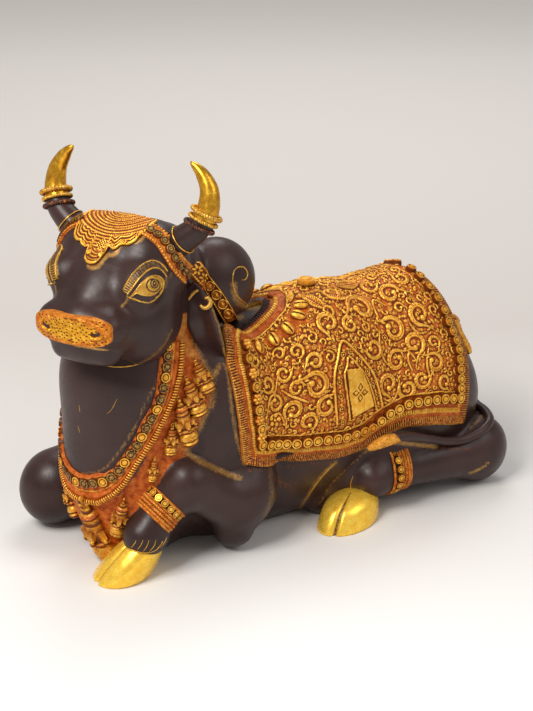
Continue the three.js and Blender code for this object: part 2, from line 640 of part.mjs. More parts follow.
// The gold pad of the muzzle: its face is a wide rounded panel.
const PAD = [41, 14.5]; // half its width and half its height
const PAD_HEIGHT = 266;
function pad() {
  const stations = [[100, 0.94], [118, 1], [122, 0.9]].map(([t, share]) => ({
    centre: onHead(t, 0, PAD_HEIGHT), side: ASIDE, thick: UP, rs: PAD[0] * share * u, rt: PAD[1] * share * u,
  }));
  return loft(stations, 12, 0.6);
}

// A plate of ornament over the brow: scalloped, with a drop in the middle.
// Its lower edge: yaw from straight ahead and pitch above level, seen from inside the skull.
const BROW_EDGE = [[0, 9], [7, 12], [11, 24], [17, 33], [24, 31], [31, 33], [38, 43], [46, 38], [54, 38],
  [62, 46], [78, 50]];
const BROW_TOP = 80; // pitch of its upper edge
function browPlate() {
  const from = onHead(20, 0, 300);
  const half = BROW_EDGE.map(([yaw]) => yaw);
  const yaws = [...half.slice(1).map((yaw) => -yaw).reverse(), ...half];
  return shell(yaws, [0, 0.45, 1], (a, b, side) => {
    const pitch = THREE.MathUtils.degToRad(THREE.MathUtils.lerp(BROW_TOP, read(BROW_EDGE, Math.abs(a)), b));
    const yaw = THREE.MathUtils.degToRad(a);
    const direction = AHEAD.clone().multiplyScalar(Math.cos(pitch) * Math.cos(yaw))
      .addScaledVector(ASIDE, Math.cos(pitch) * Math.sin(yaw)).addScaledVector(UP, Math.sin(pitch));
    return drape(headField, from, direction).addScaledVector(direction, side ? -SINK : CARVING_RISE);
  });
}

// A band of cells from the brow past the horn, and a garland behind the ear.
const HEADBAND = [[42, 34, 339], [42, 42, 336], [42, 50, 330], [42, 56, 322], [40, 60, 314], [34, 62, 305],
  [24, 62, 297]];
const GARLAND = [[-2, 54, 305], [-14, 52, 292], [-30, 50, 271], [-40, 54, 252], [-49, 58, 239],
  [-67, 56, 221]];
function headRoll(table, radii, s) {
  const path = table.map(([t, w, z]) => onHead(t, w * s, z));
  return loft(stationsAlong(path, radii, 6, 1, UP), 5);
}

// Rings round the legs above the hooves: where they sit, the way of the leg and its radius there
const ANKLET_RISE = 3;
const ANKLET_WIDTH = 22;
const ANKLETS = [
  [at(-148, -61, 64), at(-32, 3, -26), 18],
  ...mirrored((s) => [at(124, 77 * s, 43), at(111, 2 * s, -4), 20.5]),
];

// A tassel on each side of the rump behind the cloth: its strands lie side by side.
const TASSEL = [[220, 31], [226, 40], [231, 50]]; // x and degrees of the first strand
const TASSEL_STRANDS = 4;
const STRAND_PITCH = 4; // along the back, from one strand to the next
const STRAND_LIFT = 2 * u;
function tassel(s) {
  return steps(0, TASSEL_STRANDS - 1, TASSEL_STRANDS - 1).map((k) => {
    const path = TASSEL.map(([x, degrees]) => onCloth(x + STRAND_PITCH * k, (degrees - k) * s, STRAND_LIFT));
    return loft(stationsAlong(path, [3, 4.5, 3.5], 3, 1, UP), 5);
  });
}

// The lotus on the back: petals round a tall knob
const LOTUS_X = 60;
const PETALS = 8;
const PETAL_CIRCLE = 38; // from the knob to the middle of a petal
const KNOB_RADIUS = 11 * u;
const KNOB_RISE = 6 * u;
function lotus() {
  const petals = steps(0.5, PETALS - 0.5, PETALS - 1).map((i) => {
    const turn = (360 / PETALS) * i, a = THREE.MathUtils.degToRad(turn);
    const degrees = (PETAL_CIRCLE * Math.sin(a)) / DRAWN_PER_DEGREE / 1.3;
    return dome(LOTUS_X + PETAL_CIRCLE * Math.cos(a), degrees, 26 * u, 13 * u, turn);
  });
  return [...petals, clothBoss(LOTUS_X, 0, KNOB_RADIUS, 10, KNOB_RISE)];
}
// Scrolls of the foliage: place, size, where they start and which way they curl
const SCROLLS = [[-16, 35, 13, 90, 1], [-14, 52, 14, 200, 1], [12, 45, 15, 0, -1], [14, 64, 14, 130, 1],
  [112, 36, 14, 60, -1], [128, 52, 15, 180, 1], [154, 44, 14, 0, -1], [158, 61, 13, 240, 1],
  [176, 33, 11, 120, -1]];
// Cowries in a row along the cloth's front edge beside the hump
const COWRIES = [[-23, 21], [-4, 20.5], [14, 19], [28, 16], [-40, 24]];

// What lies below the ground plane, cut away so that the figure stands flat.
function ground() {
  const deep = 60 * u;
  const box = new THREE.BoxGeometry(3 * LENGTH, 3 * LENGTH, deep).translate(0, 0, -deep / 2);
  box.deleteAttribute("normal");
  box.deleteAttribute("uv");
  const merged = mergeVertices(box);
  return solidOf([...merged.attributes.position.array], [...merged.index.array]);
}

// Thinning of the facets: edges are closed up in the order in which the surface misses them least.
// A place's squared distances to the planes of its facets are summed in ten coefficients.
function planeSum(a, b, c) {
  const n = new THREE.Vector3().crossVectors(b.clone().sub(a), c.clone().sub(a));
  if (n.lengthSq() < 1e-12) return new Float64Array(10);
  n.normalize();
  const { x, y, z } = n, d = -n.dot(a);
  return Float64Array.of(x * x, x * y, x * z, x * d, y * y, y * z, y * d, z * z, z * d, d * d);
}
const missOf = (q, { x, y, z }) =>
  q[0] * x * x + 2 * q[1] * x * y + 2 * q[2] * x * z + 2 * q[3] * x + q[4] * y * y + 2 * q[5] * y * z +
  2 * q[6] * y + q[7] * z * z + 2 * q[8] * z + q[9];

// Where the sum is least, if the planes fix a place.
function leastPlace(q) {
  const m = new THREE.Matrix3().set(q[0], q[1], q[2], q[1], q[4], q[5], q[2], q[5], q[7]);
  if (Math.abs(m.determinant()) < 1e-4) return null;
  return new THREE.Vector3(-q[3], -q[6], -q[8]).applyMatrix3(m.invert());
}

class Queue {
  items = [];
  push(item) {
    const list = this.items;
    let i = list.push(item) - 1;
    while (i > 0) {
      const up = (i - 1) >> 1;
      if (list[up].miss <= item.miss) break;
      list[i] = list[up];
      i = up;
    }
    list[i] = item;
  }
  pop() {
    const list = this.items, top = list[0], item = list.pop();
    if (!list.length) return top;
    let i = 0;
    for (;;) {
      let child = 2 * i + 1;
      if (child >= list.length) break;
      if (child + 1 < list.length && list[child + 1].miss < list[child].miss) child++;
      if (list[child].miss >= item.miss) break;
      list[i] = list[child];
      i = child;
    }
    list[i] = item;
    return top;
  }
}

function thinned(solid, target) {
  const { vertProperties, triVerts } = solid.getMesh();
  const place = [], faces = [];
  for (let i = 0; i < vertProperties.length; i += 3)
    place.push(new THREE.Vector3(vertProperties[i], vertProperties[i + 1], vertProperties[i + 2]));
  for (let i = 0; i < triVerts.length; i += 3) faces.push([triVerts[i], triVerts[i + 1], triVerts[i + 2]]);
  const around = place.map(() => new Set()), sums = place.map(() => new Float64Array(10));
  const stamp = new Uint32Array(place.length);
  faces.forEach((face, f) => {
    const plane = planeSum(...face.map((v) => place[v]));
    for (const v of face) {
      around[v].add(f);
      plane.forEach((x, i) => (sums[v][i] += x));
    }
  });
  const beside = (v) => new Set([...around[v]].flatMap((f) => faces[f]).filter((w) => w !== v));
  const queue = new Queue();
  const offer = (a, b) => {
    const sum = sums[a].map((x, i) => x + sums[b][i]);
    const middle = place[a].clone().lerp(place[b], 0.5);
    const choices = [place[a], place[b], middle], least = leastPlace(sum);
    const reach = place[a].distanceTo(place[b]);
    if (least && least.distanceTo(middle) < reach) choices.push(least);
    const misses = choices.map((p) => missOf(sum, p));
    const best = misses.indexOf(Math.min(...misses));
    queue.push({ a, b, sum, to: choices[best].clone(), miss: misses[best] + 1e-4 * reach * reach,
      stamps: stamp[a] + stamp[b] });
  };
  place.forEach((_, a) => {
    for (const b of beside(a)) if (a < b) offer(a, b);
  });
  // A facet may shrink or tilt when a corner moves, but not turn over.
  const turnsOver = (f, moved, to) => {
    const corners = faces[f].map((v) => place[v]);
    const before = new THREE.Triangle(...corners).getNormal(new THREE.Vector3());
    const after = new THREE.Triangle(...faces[f].map((v, i) => (moved.includes(v) ? to : corners[i])));
    return after.getNormal(new THREE.Vector3()).dot(before) < 0.3 || after.getArea() < 1e-3 * u * u;
  };
  let count = faces.length;
  while (count > target && queue.items.length) {
    const { a, b, sum, to, stamps } = queue.pop();
    if (stamp[a] + stamp[b] !== stamps || !around[a].size || !around[b].size) continue;
    const shared = [...around[a]].filter((f) => around[b].has(f));
    const nearB = beside(b);
    const common = [...beside(a)].filter((v) => nearB.has(v));
    if (shared.length !== 2 || common.length !== 2) continue;
    const moving = [...around[a], ...around[b]].filter((f) => !shared.includes(f));
    if (moving.some((f) => turnsOver(f, [a, b], to))) continue;
    for (const f of shared) for (const v of faces[f]) around[v].delete(f);
    for (const f of around[b]) {
      faces[f] = faces[f].map((v) => (v === b ? a : v));
      around[a].add(f);
    }
    around[b].clear();
    for (const f of shared) faces[f] = null;
    place[a] = to;
    sums[a] = sum;
    stamp[a]++;
    count -= 2;
    for (const v of beside(a)) offer(a, v);
  }
  const number = new Map(), points = [], kept = [];
  for (const face of faces)
    for (const v of face ?? []) {
      if (!number.has(v)) {
        number.set(v, points.length / 3);
        points.push(...place[v].toArray());
      }
      kept.push(number.get(v));
    }
  return solidOf(points, kept);
}

const parts = [
  skin(bodyField, CELL_BODY),
  skin(headField, CELL_HEAD),
  skin(foreLeft, CELL_LEG),
  skin(foreRight, CELL_LEG),
  ...mirrored((s) => skin(hind(s), CELL_LEG)),
  ...mirrored(horn).flat(),
  ...mirrored(ear),
  tail(),
  hoof(at(-182, -43, 0), at(-164, -56, 36), 30, [36, 24], [21, 18]),
  hoof(at(-66, 98, 0), at(-72, 98, 28), 0, [24, 17], [16, 14]),
  ...mirrored((s) => hoof(at(60, 82 * s, 0), at(71, 77 * s, 37), -15 * s, [33, 24], [24, 17])),
  cloth(),
  ...mirrored(rosettes).flat(),
  ...mirrored((s) => COWRIES.map(([x, degrees]) => dome(x, degrees * s, 9 * u, 13 * u, 0, 3.2 * u))).flat(),
  ...lotus(),
  ...mirrored(archPanel).flat(),
  ...mirrored((s) => SCROLLS.map(([x, degrees, radius, turn, hand]) =>
    scroll(x, degrees * s, radius, turn, hand))).flat(),
  necklace(),
  ...necklaceRosettes(),
  ...bells(),
  ...mirrored(eye).flat(),
  pad(),
  browPlate(),
  ...mirrored((s) => headRoll(HEADBAND, [4, 5, 5.5, 5.5, 5.5, 5.5, 4], s)),
  ...mirrored((s) => headRoll(GARLAND, [4, 6, 6, 6, 6, 4], s)),
  ...ANKLETS.map(([place, along, radius]) =>
    collar(place, along, radius, ANKLET_RISE, ANKLET_WIDTH, UP, 2)),
  ...mirrored(tassel).flat(),
];
let bull = parts[0];
for (const piece of parts.slice(1)) bull = bull.add(piece);
bull = thinned(bull, FACETS).subtract(ground());

// The origin is put on the ground under the middle of the whole figure.
function geometryOf(solid) {
  const { vertProperties, triVerts } = solid.getMesh();
  const geometry = new THREE.BufferGeometry();
  geometry.setAttribute("position", new THREE.BufferAttribute(new Float32Array(vertProperties), 3));
  geometry.setIndex(new THREE.BufferAttribute(new Uint32Array(triVerts), 1));
  geometry.computeBoundingBox();
  const middle = geometry.boundingBox.getCenter(new THREE.Vector3());
  return geometry.translate(-middle.x, -middle.y, 0);
}

const group = new THREE.Group();
const brown = new THREE.MeshStandardMaterial({ color: 0x3b2c2b, roughness: 0.42, metalness: 0.25 });
const mesh = new THREE.Mesh(geometryOf(bull), brown);
mesh.name = "nandi_bull";
group.add(mesh);
export default group;
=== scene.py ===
"""A resting Nandi bull in lacquered and gilt brass: hide, head, saddle cloth, necklace and trappings."""

import math

import bpy
import numpy as np
from mathutils import Matrix, Vector

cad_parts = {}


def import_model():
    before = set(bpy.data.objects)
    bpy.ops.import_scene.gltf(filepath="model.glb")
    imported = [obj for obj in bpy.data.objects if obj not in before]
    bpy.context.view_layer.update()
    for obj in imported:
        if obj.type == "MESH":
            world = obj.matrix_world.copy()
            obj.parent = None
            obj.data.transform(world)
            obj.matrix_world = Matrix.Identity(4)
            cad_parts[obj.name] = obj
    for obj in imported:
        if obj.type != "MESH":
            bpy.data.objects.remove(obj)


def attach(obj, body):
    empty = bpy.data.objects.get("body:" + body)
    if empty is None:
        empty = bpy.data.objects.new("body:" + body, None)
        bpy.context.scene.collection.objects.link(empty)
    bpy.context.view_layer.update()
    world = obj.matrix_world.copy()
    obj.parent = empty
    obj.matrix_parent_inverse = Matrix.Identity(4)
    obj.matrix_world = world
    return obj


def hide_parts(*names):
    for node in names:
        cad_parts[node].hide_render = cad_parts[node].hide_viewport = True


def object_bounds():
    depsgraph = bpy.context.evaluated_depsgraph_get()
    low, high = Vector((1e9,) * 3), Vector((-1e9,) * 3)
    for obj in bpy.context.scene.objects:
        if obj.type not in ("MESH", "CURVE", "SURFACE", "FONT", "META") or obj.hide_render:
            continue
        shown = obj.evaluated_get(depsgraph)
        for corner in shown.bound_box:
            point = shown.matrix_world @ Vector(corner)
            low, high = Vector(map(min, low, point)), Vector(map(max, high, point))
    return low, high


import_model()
cad_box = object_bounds()
bpy.ops.object.select_all(action="DESELECT")

# Places are written in millimetres as the bull was drawn, and moved to the frame's origin at the end.
MM = 0.001
ORIGIN = np.array([9.2657, 3.2604, 0.0])


def at(x, y, z):
    """A place or a way in space."""
    return np.array([x, y, z], float)


# The bull is looked at from here; ornament is placed on it in this view's own millimetres, where the
# middle of the picture is (266.5, 355.5) and y runs down.
VIEW = {"turn": math.radians(-34.0), "rise": math.radians(22.0), "distance": 1650.0,
        "target": at(10, -9, 170)}
VIEW_MIDDLE = (266.5, 355.5)
VIEW_BACK = at(math.sin(VIEW["turn"]) * math.cos(VIEW["rise"]),
               -math.cos(VIEW["turn"]) * math.cos(VIEW["rise"]), math.sin(VIEW["rise"]))
VIEW_RIGHT = at(math.cos(VIEW["turn"]), math.sin(VIEW["turn"]), 0)
VIEW_UP = np.cross(VIEW_BACK, VIEW_RIGHT)
VIEW_FROM = VIEW["target"] + VIEW_BACK * VIEW["distance"]

# The head is turned to the bull's left about the poll.
POLL = at(-125, 0, 0)
HEAD_TURN = math.radians(29)
AHEAD = at(-math.cos(HEAD_TURN), -math.sin(HEAD_TURN), 0)
ASIDE = at(math.sin(HEAD_TURN), -math.cos(HEAD_TURN), 0)
UP = at(0, 0, 1)
BODY_AXES = np.array([at(1, 0, 0), at(0, 1, 0), UP])
HEAD_AXES = np.array([AHEAD, ASIDE, UP])
SIDES = (1, -1)
SIDE_WORDS = ((1, "left"), (-1, "right"))


def on_head(ahead, left, z):
    """A place by how far it lies ahead of the poll and to the left of the head."""
    return POLL + ahead * AHEAD + left * ASIDE + z * UP


def unit(v):
    """The same ways with a length of one."""
    return v / np.maximum(np.linalg.norm(v, axis=-1, keepdims=True), 1e-9)


def run_along(path):
    """How far along a path each of its points lies."""
    return np.concatenate([[0], np.cumsum(np.linalg.norm(np.diff(path, axis=0), axis=1))])


def table(rows, key):
    """The value that a table of pairs gives between its rows."""
    return np.interp(key, *np.array(rows, float).T)


# The upright line round which the necklace is laid
CHEST = at(-142, 0, 0)

# Rounded masses, as distances from their surface

def pitched(axes, degrees):
    """Axes with the front one tipped up."""
    a = math.radians(degrees)
    front, side, up = axes
    return np.array([front * math.cos(a) + up * math.sin(a), side, up * math.cos(a) - front * math.sin(a)])


def egg(centre, radii, axes=BODY_AXES):
    """An egg-shaped mass."""
    radii = np.array(radii, float)

    def distance(p):
        q = ((p - centre) @ axes.T) / radii
        k0 = np.sqrt((q * q).sum(-1))
        k1 = np.sqrt(((q / radii) ** 2).sum(-1))
        return k0 * (k0 - 1) / np.maximum(k1, 1e-6)
    return distance


def head_egg(ahead, left, z, radii, pitch=0):
    """An egg-shaped mass placed and turned on the head."""
    return egg(on_head(ahead, left, z), radii, pitched(HEAD_AXES, pitch))


def limb(a, b, ra, rb):
    """A round-ended rod that tapers from one place to another."""
    ab = b - a

    def distance(p):
        t = np.clip(((p - a) @ ab) / (ab @ ab), 0, 1)
        return np.linalg.norm(p - a - t[..., None] * ab, axis=-1) - (ra + (rb - ra) * t)
    return distance


def melt_two(a, b, reach):
    """Two distances joined with a soft seam."""
    h = np.maximum(reach - np.abs(a - b), 0) / reach
    return np.minimum(a, b) - h * h * reach / 4


def melt(reach, *masses):
    """Several masses as one, with their creases filled as far as the reach."""
    def distance(p):
        d = masses[0](p)
        for mass in masses[1:]:
            d = melt_two(d, mass(p), reach)
        return d
    return distance


trunk = melt(
    26,
    egg(at(62, 0, 118), [150, 84, 110]),
    egg(at(170, 0, 128), [82, 72, 97]),
    *[egg(at(170, 48 * s, 92), [80, 44, 70]) for s in SIDES],
    limb(at(-60, 0, 52), at(180, 0, 52), 60, 60),
    *[egg(at(-72, 36 * s, 135), [54, 42, 92]) for s in SIDES],
    egg(at(-142, 0, 124), [67, 60, 104]),
    egg(at(-138, 0, 62), [60, 50, 74]),
    limb(at(-144, 0, 190), at(-112, -4, 285), 62, 44),
)
hump = egg(at(-44, 0, 258), [41, 33, 43], pitched(BODY_AXES, 20))
body = melt(10, trunk, hump)
head = melt(
    12,
    limb(on_head(28, -24, 304), on_head(28, 24, 304), 40, 40),
    head_egg(64, 0, 288, [42, 42, 28], -35),
    limb(on_head(62, 0, 286), on_head(100, 0, 268), 30, 20),
    limb(on_head(106, -27, 266), on_head(106, 27, 266), 15, 15),
    limb(on_head(98, -22, 240), on_head(98, 22, 240), 12.5, 12.5),
    head_egg(72, 0, 245, [40, 34, 20]),
    *[head_egg(38, 26 * s, 255, [46, 30, 45]) for s in SIDES],
    *[head_egg(80, 22 * s, 262, [34, 23, 22]) for s in SIDES],
    *[head_egg(66, 38 * s, 295, [20, 17, 20]) for s in SIDES],
)
fore_left = melt(
    12,
    limb(at(-46, -46, 92), at(-52, -60, 60), 32, 31),
    limb(at(-52, -60, 60), at(-66, -63, 25), 31, 21),
    limb(at(-66, -62, 54), at(-118, -64, 88), 30, 24),
    limb(at(-118, -64, 88), at(-150, -61, 62), 23, 17),
    egg(at(-163, -61, 43), [23, 21, 21]),
)
fore_right = melt(
    14,
    egg(at(-188, 82, 40), [34, 28, 36]),
    limb(at(-100, 72, 60), at(-182, 80, 46), 40, 34),
    limb(at(-180, 94, 20), at(-106, 98, 19), 20, 15),
    egg(at(-92, 98, 19), [17, 15, 17]),
)


def hind(s):
    """The folded hind leg of one side."""
    return melt(
        14,
        egg(at(234, 78 * s, 37), [34, 27, 36]),
        limb(at(231, 78 * s, 37), at(120, 76 * s, 41), 28, 20),
        egg(at(96, 78 * s, 38), [20, 19, 20]),
        limb(at(118, 58 * s, 60), at(48, 46 * s, 17), 30, 16),
    )


hide = melt(7, body, fore_left, fore_right, hind(1), hind(-1))


def slope(field, p, step=0.4):
    """The way out of a mass at each place: how its distance rises along each axis."""
    return np.stack([(field(p + d) - field(p - d)) / (2 * step) for d in np.eye(3) * step], -1)


def settled(p, field, rounds=2):
    """Places moved onto a mass's surface."""
    for _ in range(rounds):
        g = slope(field, p)
        p = p - g * (field(p) / np.maximum((g * g).sum(-1), 0.3))[:, None]
    return p


def lattice(field, low, high, cell, block=4):
    """Distances at the points of a fine lattice, worked out only in the blocks near the surface."""
    n = np.ceil((high - low) / (cell * block)).astype(int) + 2
    wide = cell * block
    centres = np.stack(np.meshgrid(*[np.arange(k) for k in n], indexing="ij"), -1) * wide + low - wide / 2
    d = field(centres.reshape(-1, 3)).reshape(n)
    spread = lambda a: a.repeat(block, 0).repeat(block, 1).repeat(block, 2)
    value = spread(np.where(d < 0, -wide, wide).astype(float))
    near = np.argwhere(spread(np.abs(d) < wide * 1.9))
    start = low - wide + cell / 2
    value[tuple(near.T)] = field(near * cell + start)
    return value, start


def skin(field, low, high, cell):
    """Points and quads of a mass's surface: a point in each crossed lattice cell, joined across edges."""
    value, start = lattice(field, low, high, cell)
    shape = np.array(value.shape)
    strides = np.array([shape[1] * shape[2], shape[2], 1])
    flat = value.ravel()
    total = np.zeros((flat.size, 3))
    count = np.zeros(flat.size)
    quads = []
    for axis in range(3):
        first = np.argwhere(np.diff((value < 0).astype(np.int8), axis=axis) != 0)
        inner = (first > 0).all(1)
        first = first[inner]
        here = first @ strides
        a, b = flat[here], flat[here + strides[axis]]
        p = first.astype(float)
        p[:, axis] += a / (a - b)
        s, t = (axis + 1) % 3, (axis + 2) % 3
        around = [here - ds * strides[s] - dt * strides[t] for ds, dt in ((1, 1), (0, 1), (0, 0), (1, 0))]
        for cells in around:
            for k in range(3):
                total[:, k] += np.bincount(cells, p[:, k], flat.size)
            count += np.bincount(cells, minlength=flat.size)
        quad = np.stack(around, 1)
        quads.append(np.where((a < 0)[:, None], quad, quad[:, ::-1]))
    quads = np.concatenate(quads)
    used, faces = np.unique(quads, return_inverse=True)
    points = total[used] / count[used][:, None] * cell + start
    return settled(points, field), faces.reshape(-1, 4)


def draped(field, start, way, step=6.0):
    """Where rays from inside a mass leave it."""
    start = np.broadcast_to(start, way.shape)
    inside = np.zeros(len(way))
    outside = np.full(len(way), step)
    where = lambda d: start + way * d[:, None]
    while True:
        sunk = field(where(outside)) < 0
        if not sunk.any():
            break
        inside = np.where(sunk, outside, inside)
        outside = np.where(sunk, outside + step, outside)
    for _ in range(14):
        middle = (inside + outside) / 2
        sunk = field(where(middle)) < 0
        inside = np.where(sunk, middle, inside)
        outside = np.where(sunk, outside, middle)
    return where(outside)


def looked_at(field, x, y):
    """Where lines of sight through places of the view meet a mass."""
    way = unit(-VIEW["distance"] * VIEW_BACK + (x - VIEW_MIDDLE[0])[:, None] * VIEW_RIGHT
               - (y - VIEW_MIDDLE[1])[:, None] * VIEW_UP)
    reach = np.full(len(way), VIEW["distance"] - 320.0)
    for _ in range(90):
        reach += 0.75 * field(VIEW_FROM + way * reach[:, None])
    return VIEW_FROM + way * reach[:, None]


def in_view(points):
    """Where places stand in the view."""
    away = points - VIEW_FROM
    share = VIEW["distance"] / -(away @ VIEW_BACK)
    return np.stack([VIEW_MIDDLE[0] + share * (away @ VIEW_RIGHT),
                     VIEW_MIDDLE[1] - share * (away @ VIEW_UP)], -1)


def before(places, x, y):
    """Places of the view at the depth of a place in space."""
    x, y = np.asarray(x, float), np.asarray(y, float)
    deep = -(places - VIEW_FROM) @ VIEW_BACK
    return VIEW_FROM + deep * (-VIEW_BACK + ((x - VIEW_MIDDLE[0])[:, None] * VIEW_RIGHT
                                             - (y - VIEW_MIDDLE[1])[:, None] * VIEW_UP) / VIEW["distance"])


def over_muzzle(points):
    """The same places on the head's other side."""
    return points - 2 * ((points - POLL) @ ASIDE)[:, None] * ASIDE


BOX = np.array([list(corner) for corner in cad_box])
BOX_MARGIN = 0.00002


def boxed(places):
    """Places in metres held within the solid's box."""
    return np.clip(places, BOX[0] + BOX_MARGIN, BOX[1] - BOX_MARGIN)


def piece(name, points, faces, finish, **marks):
    """A finished piece from drawn places, with values marked on its points."""
    mesh = bpy.data.meshes.new(name)
    mesh.from_pydata(boxed((points - ORIGIN) * MM).tolist(), [], [list(f) for f in faces])
    mesh.polygons.foreach_set("use_smooth", [True] * len(mesh.polygons))
    for mark, values in marks.items():
        values = np.broadcast_to(np.asarray(values, np.float32), len(points)).copy()
        mesh.attributes.new(mark, "FLOAT", "POINT").data.foreach_set("value", values)
    mesh.update()
    thing = bpy.data.objects.new(name, mesh)
    bpy.context.scene.collection.objects.link(thing)
    mesh.materials.append(finish)
    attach(thing, "root")
    return thing


# Forms drawn along paths

def smooth_path(path, count):
    """Points at even steps on a smooth curve through the given ones."""
    path = np.asarray(path, float)
    ends = np.vstack([2 * path[0] - path[1], path, 2 * path[-1] - path[-2]])
    t = np.linspace(0, len(path) - 1, 40 * len(path))
    i = np.minimum(t.astype(int), len(path) - 2)
    f = (t - i)[:, None]
    a, b, c, d = ends[i], ends[i + 1], ends[i + 2], ends[i + 3]
    curve = 0.5 * (2 * b + (c - a) * f + (2 * a - 5 * b + 4 * c - d) * f**2 + (3 * b - a - 3 * c + d) * f**3)
    run = run_along(curve)
    even = np.linspace(0, run[-1], count)
    return np.stack([np.interp(even, run, curve[:, k]) for k in range(path.shape[1])], -1)


def spread_values(values, count):
    """Values spread evenly over a count of steps."""
    return np.interp(np.linspace(0, 1, count), np.linspace(0, 1, len(values)), values)


def turns(count):
    """Even steps of a full turn."""
    return np.linspace(0, 2 * math.pi, count, endpoint=False)


def square_to(path, lean=UP):
    """Two ways across a path at each of its points, square to it and to each other."""
    tangent = unit(np.gradient(path, axis=0))
    side = unit(np.cross(tangent, lean))
    return side, np.cross(side, tangent)


def ring_faces(rows, sides, loop=False):
    """Faces between rings of points. A loop closes on itself, else two more points close the ends."""
    index = np.arange(rows * sides).reshape(rows, sides)
    after = np.roll(index, -1, 1)
    if loop:
        quads = np.stack([index, after, np.roll(after, -1, 0), np.roll(index, -1, 0)], -1)
        return quads.reshape(-1, 4).tolist()
    faces = np.stack([index[:-1], after[:-1], after[1:], index[1:]], -1).reshape(-1, 4).tolist()
    first, last = rows * sides, rows * sides + 1
    faces += [[first, int(b), int(a)] for a, b in zip(index[0], after[0])]
    faces += [[last, int(a), int(b)] for a, b in zip(index[-1], after[-1])]
    return faces


def tube(path, radii, sides, lean=UP):
    """Points and faces of a closed round tube along a path."""
    n = len(path)
    side, thick = square_to(path, lean)
    turn = turns(sides)[None, :, None]
    ring = np.cos(turn) * side[:, None] + np.sin(turn) * thick[:, None]
    points = path[:, None] + ring * np.broadcast_to(radii, n)[:, None, None]
    return np.vstack([points.reshape(-1, 3), path[0], path[-1]]), ring_faces(n, sides)


def outward_faces(points, faces):
    """Turns all faces round where the closed form is inside out."""
    middle = points.mean(0)
    quads = np.array([[*face, face[-1]][:4] for face in faces])
    a, b, c, d = ((points - middle)[quads[:, k]] for k in range(4))
    volume = (a * (np.cross(b, c) + np.cross(c, d))).sum()
    return faces if volume > 0 else [list(face)[::-1] for face in faces]


def joined(*forms):
    """Several (points, faces) forms as one."""
    points, faces, start = [], [], 0
    for p, f in forms:
        points.append(p)
        faces += [[int(v) + start for v in face] for face in f]
        start += len(p)
    return np.vstack(points), faces


def slab(top, bottom):
    """A closed form between a grid of points and the grid below it, open at no side."""
    rows, cols = top.shape[:2]
    index = np.arange(rows * cols).reshape(rows, cols)
    a, b, c, d = index[:-1, :-1], index[1:, :-1], index[1:, 1:], index[:-1, 1:]
    upper = np.stack([a, b, c, d], -1).reshape(-1, 4)
    rim = np.concatenate([index[0, :-1], index[:-1, -1], index[-1, :0:-1], index[:0:-1, 0]])
    count = rows * cols
    low = count + np.arange(len(rim))
    under = bottom.reshape(-1, 3)[rim]
    centre = under.mean(0)
    faces = upper.tolist()
    after = np.roll(np.arange(len(rim)), -1)
    faces += [[int(rim[i]), int(rim[j]), int(low[j]), int(low[i])] for i, j in enumerate(after)]
    faces += [[int(low[i]), int(low[j]), count + len(rim)] for i, j in enumerate(after)]
    return np.vstack([top.reshape(-1, 3), under, centre]), faces


def form_piece(name, forms, finish, **marks):
    """One piece of several closed forms."""
    points, faces = joined(*[(p, outward_faces(p, f)) for p, f in forms])
    return piece(name, points, faces, finish, **marks)


def slab_piece(name, top, bottom, shape, finish, **marks):
    """A slab as a piece. Marks given for each point of its upper side are nought below it."""
    points, faces = slab(top.reshape(*shape, 3), bottom.reshape(*shape, 3))
    extra = len(points) - len(top)
    marks = {key: np.pad(mark, (0, extra)) if np.ndim(mark) else mark for key, mark in marks.items()}
    return piece(name, points, outward_faces(points, faces), finish, **marks)


# Carving: a ground is a sheet whose points know their place on it, in millimetres, and their height

rng = np.random.default_rng(7)


